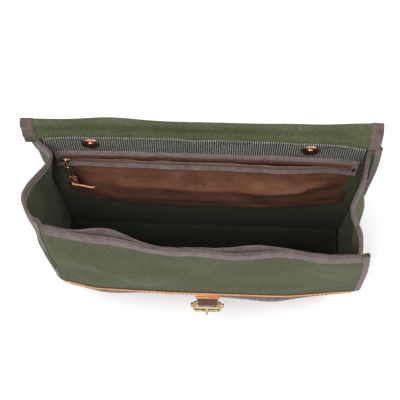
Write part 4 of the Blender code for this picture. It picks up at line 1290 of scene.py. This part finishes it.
def make_buckle():
    """Frame, pin with knobs, two sleeves, and the prong on the pin."""
    bar = np.array([BUCKLE_X, float(front_y(REAR_BAR_Z)) - LAYER - LEATHER / 2 - REAR_BAR_OUT, REAR_BAR_Z])
    make_buckle_tab(bar)
    down = np.array([0, -sin(BUCKLE_LEAN), -cos(BUCKLE_LEAN)])
    out = np.array([0, -cos(BUCKLE_LEAN), sin(BUCKLE_LEAN)])
    side = ACROSS
    half = BUCKLE_WIDTH / 2
    loop = rounded([bar - side * half, bar + side * half, bar + side * half + down * END_DROP,
                    bar - side * half + down * END_DROP], 0.0046, per=8)
    loop = resampled(np.concatenate([loop, loop[:1]]), 97)[:-1]
    settle(tube("buckle_loop", loop, BUCKLE_ROD, brass, closed=True), "buckle_frame", ["buckle_frame"])
    pin = bar + down * PIN_DROP
    knob = half + 0.0040
    profile = [(0.0006, -knob - 0.0004), (0.0021, -knob), (0.0028, -knob + 0.0012), (0.0027, -knob + 0.0026),
               (0.0016, -knob + 0.0036), (0.00136, -knob + 0.0040)]
    profile += [(r, -d) for r, d in reversed(profile)]
    settle(turned("buckle_pin_knobs", profile, pin, side, brass), "buckle_frame")
    eye_half = PRONG_WIDTH / 2
    for word, reach in (("left", -1), ("right", 1)):
        start = eye_half + GAP
        end = half - BUCKLE_ROD - GAP
        roll = [(0.0018, start), (SLEEVE_RADIUS - 0.0004, start), (SLEEVE_RADIUS, start + 0.0005),
                (SLEEVE_RADIUS, end - 0.0005), (SLEEVE_RADIUS - 0.0004, end), (0.0018, end)]
        roll = turned(f"buckle_roller_{word}", roll, pin, side * reach, brass)
        settle(roll, "buckle_frame", [f"buckle_sleeve_{word}"])
    over = END_DROP - PIN_DROP
    lift = BUCKLE_ROD + PRONG_WIDTH * 0.35 + GAP
    rim = SLEEVE_RADIUS + 0.0001
    collar = [(0.0018, -eye_half), (rim, -eye_half), (rim, eye_half), (0.0018, eye_half)]
    settle(turned("prong_collar", collar, pin, side, brass), "buckle_prong", ["buckle_prong"])
    points = [(0.0016, 0.0016), (0.0050, lift * 0.75), (over * 0.62, lift * 0.95), (over, lift + 0.0002),
              (PRONG_LENGTH - PIN_DROP - 0.002, lift + 0.0001), (PRONG_LENGTH - PIN_DROP, lift - 0.0003)]
    spine = curve_through(np.array([pin + down * f + out * o for f, o in points]), 26)
    rings = []
    for i, centre in enumerate(spine):
        share = i / (len(spine) - 1)
        wide = eye_half * mix(0.95, 0.62, share) * (1 - 0.55 * float(smooth(0.92, 1.0, share)))
        thick = 0.00105 * (1 - 0.5 * float(smooth(0.92, 1.0, share)))
        rings.append(centre + circle(side * wide, out * thick, 14))
    settle(swept("prong_tongue", rings, brass), "buckle_prong")


# ---- flap -----------------------------------------------------------------------------------


def ridge_line():
    """Middle of the cloth in a plane across the bag: up behind the webbing and over the ridge."""
    low = [(back_y(z), z) for z in (0.247, 0.2535)]
    band = [
        (mix(BACK_TOP_Y + 0.0006, RIDGE_Y, share), mix(0.2568, RIDGE_Z, rise))
        for share, rise in ((0.0, 0.0), (0.30, 0.34), (0.62, 0.69), (0.85, 0.89))
    ]
    crest = [(RIDGE_Y + 0.0002, RIDGE_Z - 0.0010)]
    hang = [tuple(flap_point(0, d)[1:]) for d in (0.006, 0.012, 0.020, 0.030, 0.040, YOKE)]
    return curve_through(np.array([(0, y, z) for y, z in low + band + crest + hang]), 44)


def flap_waves(x, distance):
    """How far the hanging flap stands off its plane; nothing at the ridge."""
    hang = smooth(0.010, 0.070, distance)
    return hang * (0.0016 * rumple(x, distance, 111, 0.110) + 0.0012 * np.sin(x * 30 + distance * 9))


def flap_grid(start, end, rows):
    columns = np.linspace(-FLAP_LEFT, FLAP_RIGHT, FLAP_COLUMNS)
    d, x = np.meshgrid(np.linspace(start, end, rows), columns, indexing="ij")
    return flap_point(x, d, flap_waves(x, d))


def flap_lift():
    """The way out from the hanging flap."""
    return np.array([0, cos(FLAP_LEAN), sin(FLAP_LEAN)])


def over_ridge(piece, nodes=()):
    """For pieces from the back wall over the ridge to the flap's top: bakes its placement into its mesh, hides its
    CAD nodes and puts it on no body.
    """
    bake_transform(piece)
    return settle(piece, None, nodes)


def over_fold(piece, nodes=()):
    """For pieces from the flap's top over the fold to its front: bakes its placement into its mesh, hides its CAD
    nodes and puts it on no body.
    """
    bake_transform(piece)
    return settle(piece, None, nodes)


def make_ridge():
    """The band over the back and the top of the flap, in one cloth, with its side tapes."""
    shares = np.linspace(-1, 1, FLAP_COLUMNS)
    rows = []
    for _, y, z in ridge_line():
        wide = float(smooth(0.256, 0.268, z)) if y < RIDGE_Y else 1.0
        half = np.where(shares < 0, mix(0.1915, FLAP_LEFT, wide), mix(0.1895, FLAP_RIGHT, wide))
        rows.append(np.stack([shares * half, np.full_like(shares, y), np.full_like(shares, z)], -1))
    grid = np.array(rows)
    x = grid[..., 0]
    down = np.where(grid[..., 1] > RIDGE_Y, np.linalg.norm(grid[..., 1:] - [RIDGE_Y, RIDGE_Z], axis=-1), 0)
    grid = grid + flap_lift() * flap_waves(x, down)[..., None]
    x, y, z = grid[..., 0], grid[..., 1], grid[..., 2]
    z += 0.0010 * rumple(x, 0 * x, 112, 0.120) * bump(z, RIDGE_Z, 0.016) * (np.abs(y - RIDGE_Y) < 0.02)
    y += bow(x, BACK_TOP) * (1 - smooth(BACK_TOP_Y + 0.004, RIDGE_Y - 0.003, y))
    over = bump(z, RIDGE_Z + 0.002, 0.024) * (y < RIDGE_Y + 0.008)
    over = over * smooth(BACK_TOP_Y + 0.006, BACK_TOP_Y + 0.013, y)
    sway = 0.0024 * smooth(0.100, 0.185, x) - 0.0040 * smooth(0.100, 0.180, -x) - 0.0016 * bump(x, 0.0, 0.090)
    y += over * sway
    wave = 0.0005 * rumple(x, z, 113, 0.040, (2.0, 1.0)) * smooth(0.250, 0.262, z)
    wave *= 1 - smooth(0.020, 0.042, down)
    grid = shaped(grid, wave)
    cloth = over_ridge(sheet("ridge_cloth", grid, CANVAS, canvas, relief=wave / 0.001), ["back_panel"])
    tracks = []
    for side, word, at, beside in ((-1, "left", 0, 1), (1, "right", -1, -2)):
        keep = (grid[:, at, 2] > 0.2550) | (grid[:, at, 1] > RIDGE_Y)
        edge = grid[keep, at]
        into = grid[keep, beside] - edge
        tracks += bind(f"ridge_side_tape_{word}", edge, into, (), 120 + side, leg=0.0125, hold=over_ridge)
    over_ridge(stitches("ridge_side_stitches", tracks, thread_mauve))


def make_flap():
    """The hanging flap, lapped over the end of the ridge cloth, with its tapes and lap seam."""
    make_ridge()
    rows = 62
    grid = flap_grid(YOKE - 0.006, FLAP_FOOT, rows)
    distance = np.linspace(YOKE - 0.006, FLAP_FOOT, rows)
    lap = 1 - smooth(YOKE - 0.001, YOKE + 0.006, distance)
    grid = grid + lap[:, None, None] * flap_lift() * (CANVAS + 0.0001)
    wave = 0.0006 * rumple(grid[..., 0], grid[..., 2], 114, 0.050)
    wave *= smooth(YOKE, YOKE + 0.020, distance)[:, None]
    grid = grid + flap_lift() * wave[..., None]
    cloth = sheet("flap_cloth", grid, CANVAS, canvas, relief=-wave / 0.001)
    over_fold(cloth, ["flap_top", "flap_front"])
    tracks = []
    for side, word, at, beside in ((-1, "left", 0, 1), (1, "right", -1, -2)):
        edge = grid[:-1, at]
        nodes = [f"flap_top_binding_{word}", f"flap_front_binding_{word}"]
        into = grid[:-1, beside] - edge
        tracks += bind(f"flap_side_tape_{word}", edge, into, nodes, 130 + side, hold=over_fold)

    def on_front(piece, nodes=()):
        return settle(piece, "flap_front", nodes)

    foot = grid[-1, 3:-3]
    into = grid[-2, 3:-3] - foot
    end_tracks = bind("flap_end_tape", foot, into, ["flap_edge_binding"], 135, hold=on_front)
    on_front(stitches("flap_end_stitches", end_tracks, thread_mauve))
    over_fold(stitches("flap_side_stitches", tracks, thread_mauve))
    tracks = []
    for d in (YOKE - 0.0045, YOKE - 0.0005):
        xs = np.linspace(-FLAP_LEFT + 0.012, FLAP_RIGHT - 0.012, 110)
        tracks.append(track(flap_point(xs, d, flap_waves(xs, d) + CANVAS * 1.5 + 0.0002), flap_lift()))
    settle(stitches("flap_seam_stitches", tracks, thread_dark), "flap_top")


def make_strap():
    """The closing strap: sewn to the flap, then its free tail with a pointed end and holes."""
    offset = -(CANVAS / 2 + 0.0006 + TAPE + GAP + STRAP_THICKNESS / 2)
    joint_at = FLAP_FOOT + 0.003
    start = joint_at - STRAP_SEWN
    half, shares = STRAP_WIDTH / 2, np.linspace(-1, 1, 18)
    rows = []
    for d in np.linspace(start, joint_at - FOLD_GAP * 0.2, 26):
        wide = mix(0.72, 1.0, float(smooth(start, start + 0.004, d)))
        rows.append(flap_point(BUCKLE_X + shares * half * wide, d, offset))
    rows = np.array(rows)
    cut_leather("strap_sewn_leather", rows, STRAP_THICKNESS, "flap_front", ["strap_sewn"], 0.0006)

    root = flap_point(BUCKLE_X, joint_at, offset)
    turn = FLAP_LEAN + STRAP_BEND
    down = np.array([0, sin(turn), -cos(turn)])
    first_down = np.array([0, sin(FLAP_LEAN), -cos(FLAP_LEAN)])
    point, bent = 0.016, 0.006
    rows = []
    for d in np.linspace(-0.0006, STRAP_TAIL, 60):
        end = max(0.0, (d - (STRAP_TAIL - point)) / point)
        wide = max((1 - min(end, 1) ** 2.2) ** 0.55, 0.10)
        run = mix(first_down, down, 0.5 + 0.5 * float(smooth(0.0, 0.010, d)))
        centre = root + run * min(d, bent) + down * max(0.0, d - bent)
        rows.append(centre + shares[:, None] * half * wide * ACROSS)
    tail = sheet("strap_tail_leather", np.array(rows), STRAP_THICKNESS, leather, edge=raw_edge)
    across = np.array([0, cos(turn), sin(turn)])
    cutters = []
    for k in range(3):
        spot = root + down * (STRAP_TAIL - 0.018 - k * 0.014)
        hole = ((0.0019, -0.006), (0.0019, 0.006))
        cutter = turned(f"strap_hole_cutter_{k}", hole, spot, across, raw_edge, sides=24)
        cutter.hide_render = True
        cutter.hide_viewport = True
        cut = tail.modifiers.new(f"hole_{k}", "BOOLEAN")
        cut.operation = "DIFFERENCE"
        cut.object = cutter
        cut.solver = "EXACT"
        cutters.append(cutter)
    apply_modifiers(tail)
    for cutter in cutters:
        bpy.data.objects.remove(cutter, do_unlink=True)
    settle(tail, "strap_tail", ["strap_tail"])

    low, high, sewn_half = start + 0.004, joint_at - 0.006, 0.0100
    lines = [(np.full(30, BUCKLE_X + x), np.linspace(low, high, 30)) for x in (-sewn_half, sewn_half)]
    xs = np.linspace(BUCKLE_X - sewn_half, BUCKLE_X + sewn_half, 12)
    lines += [(xs, np.full(12, d)) for d in (low, high)]
    face = offset - STRAP_THICKNESS / 2
    tracks = [track(flap_point(xs, ds, face), -flap_lift()) for xs, ds in lines]
    thread = stitches("strap_stitches", tracks, thread_tan, length=0.0030, pitch=0.0042, radius=0.00040)
    settle(thread, "flap_front")


def apply_modifiers(made):
    graph = bpy.context.evaluated_depsgraph_get()
    mesh = bpy.data.meshes.new_from_object(made.evaluated_get(graph))
    made.modifiers.clear()
    made.data = mesh


# ---- floor, light and camera ----------------------------------------------------------------


def make_floor():
    reach = 6.0
    corners = [(-reach, -reach, 0), (reach, -reach, 0), (reach, reach, 0), (-reach, reach, 0)]
    mesh = bpy.data.meshes.new("floor")
    mesh.from_pydata(corners, [], [(0, 1, 2, 3)])
    finish = Finish("studio_floor", 0.9, specular=0.1)
    finish.colour((0.93, 0.93, 0.93, 1.0))
    mesh.materials.append(finish.material)
    floor = bpy.data.objects.new("floor", mesh)
    bpy.context.scene.collection.objects.link(floor)
    floor.location.z = -0.0002


def make_light():
    world = bpy.data.worlds.new("studio")
    world.use_nodes = True
    world.node_tree.nodes["Background"].inputs[0].default_value = (1, 1, 1, 1)
    world.node_tree.nodes["Background"].inputs[1].default_value = 0.66
    bpy.context.scene.world = world
    for name, place, size, power in (
        ("key", (-0.6, -0.75, 1.95), 1.2, 36),
        ("fill", (1.1, -0.3, 1.6), 1.4, 12),
        ("back", (0.1, 1.1, 1.9), 1.4, 12),
    ):
        light = bpy.data.lights.new(name, "AREA")
        light.size = size
        light.energy = power
        lamp = bpy.data.objects.new(name, light)
        bpy.context.scene.collection.objects.link(lamp)
        lamp.location = place
        lamp.rotation_euler = (Vector((0, 0, 0.12)) - Vector(place)).to_track_quat("-Z", "Y").to_euler()


def make_camera():
    data = bpy.data.cameras.new("camera")
    data.lens = 90
    data.sensor_width = 36
    data.dof.use_dof = False
    camera = bpy.data.objects.new("camera", data)
    bpy.context.scene.collection.objects.link(camera)
    target = Vector((0, -0.011, 0.255))
    azimuth, elevation, distance = radians(2), radians(69), 1.05
    level = cos(elevation)
    from_target = Vector((sin(azimuth) * level, -cos(azimuth) * level, sin(elevation)))
    camera.location = target + distance * from_target
    camera.rotation_euler = (target - camera.location).to_track_quat("-Z", "Y").to_euler()
    bpy.context.scene.camera = camera
    bpy.context.scene.view_settings.view_transform = "Standard"


front_grid = make_front()
seam_tracks = make_side_seams(front_grid)
seam_tracks += make_gusset(-1, "left") + make_gusset(1, "right")
settle(stitches("seam_stitches", seam_tracks, thread_mauve))
make_back()
make_base()
make_boot()
make_webbing_strip()
make_zip()
make_stops()
make_slider()
make_pocket()
for ring_word, ring_x in RIVET_XS.items():
    make_rivet(ring_word, ring_x)
    make_ring_tab(ring_word, ring_x)
    make_ring(ring_word, ring_x)
make_buckle()
make_flap()
make_strap()
make_floor()
make_light()
make_camera()
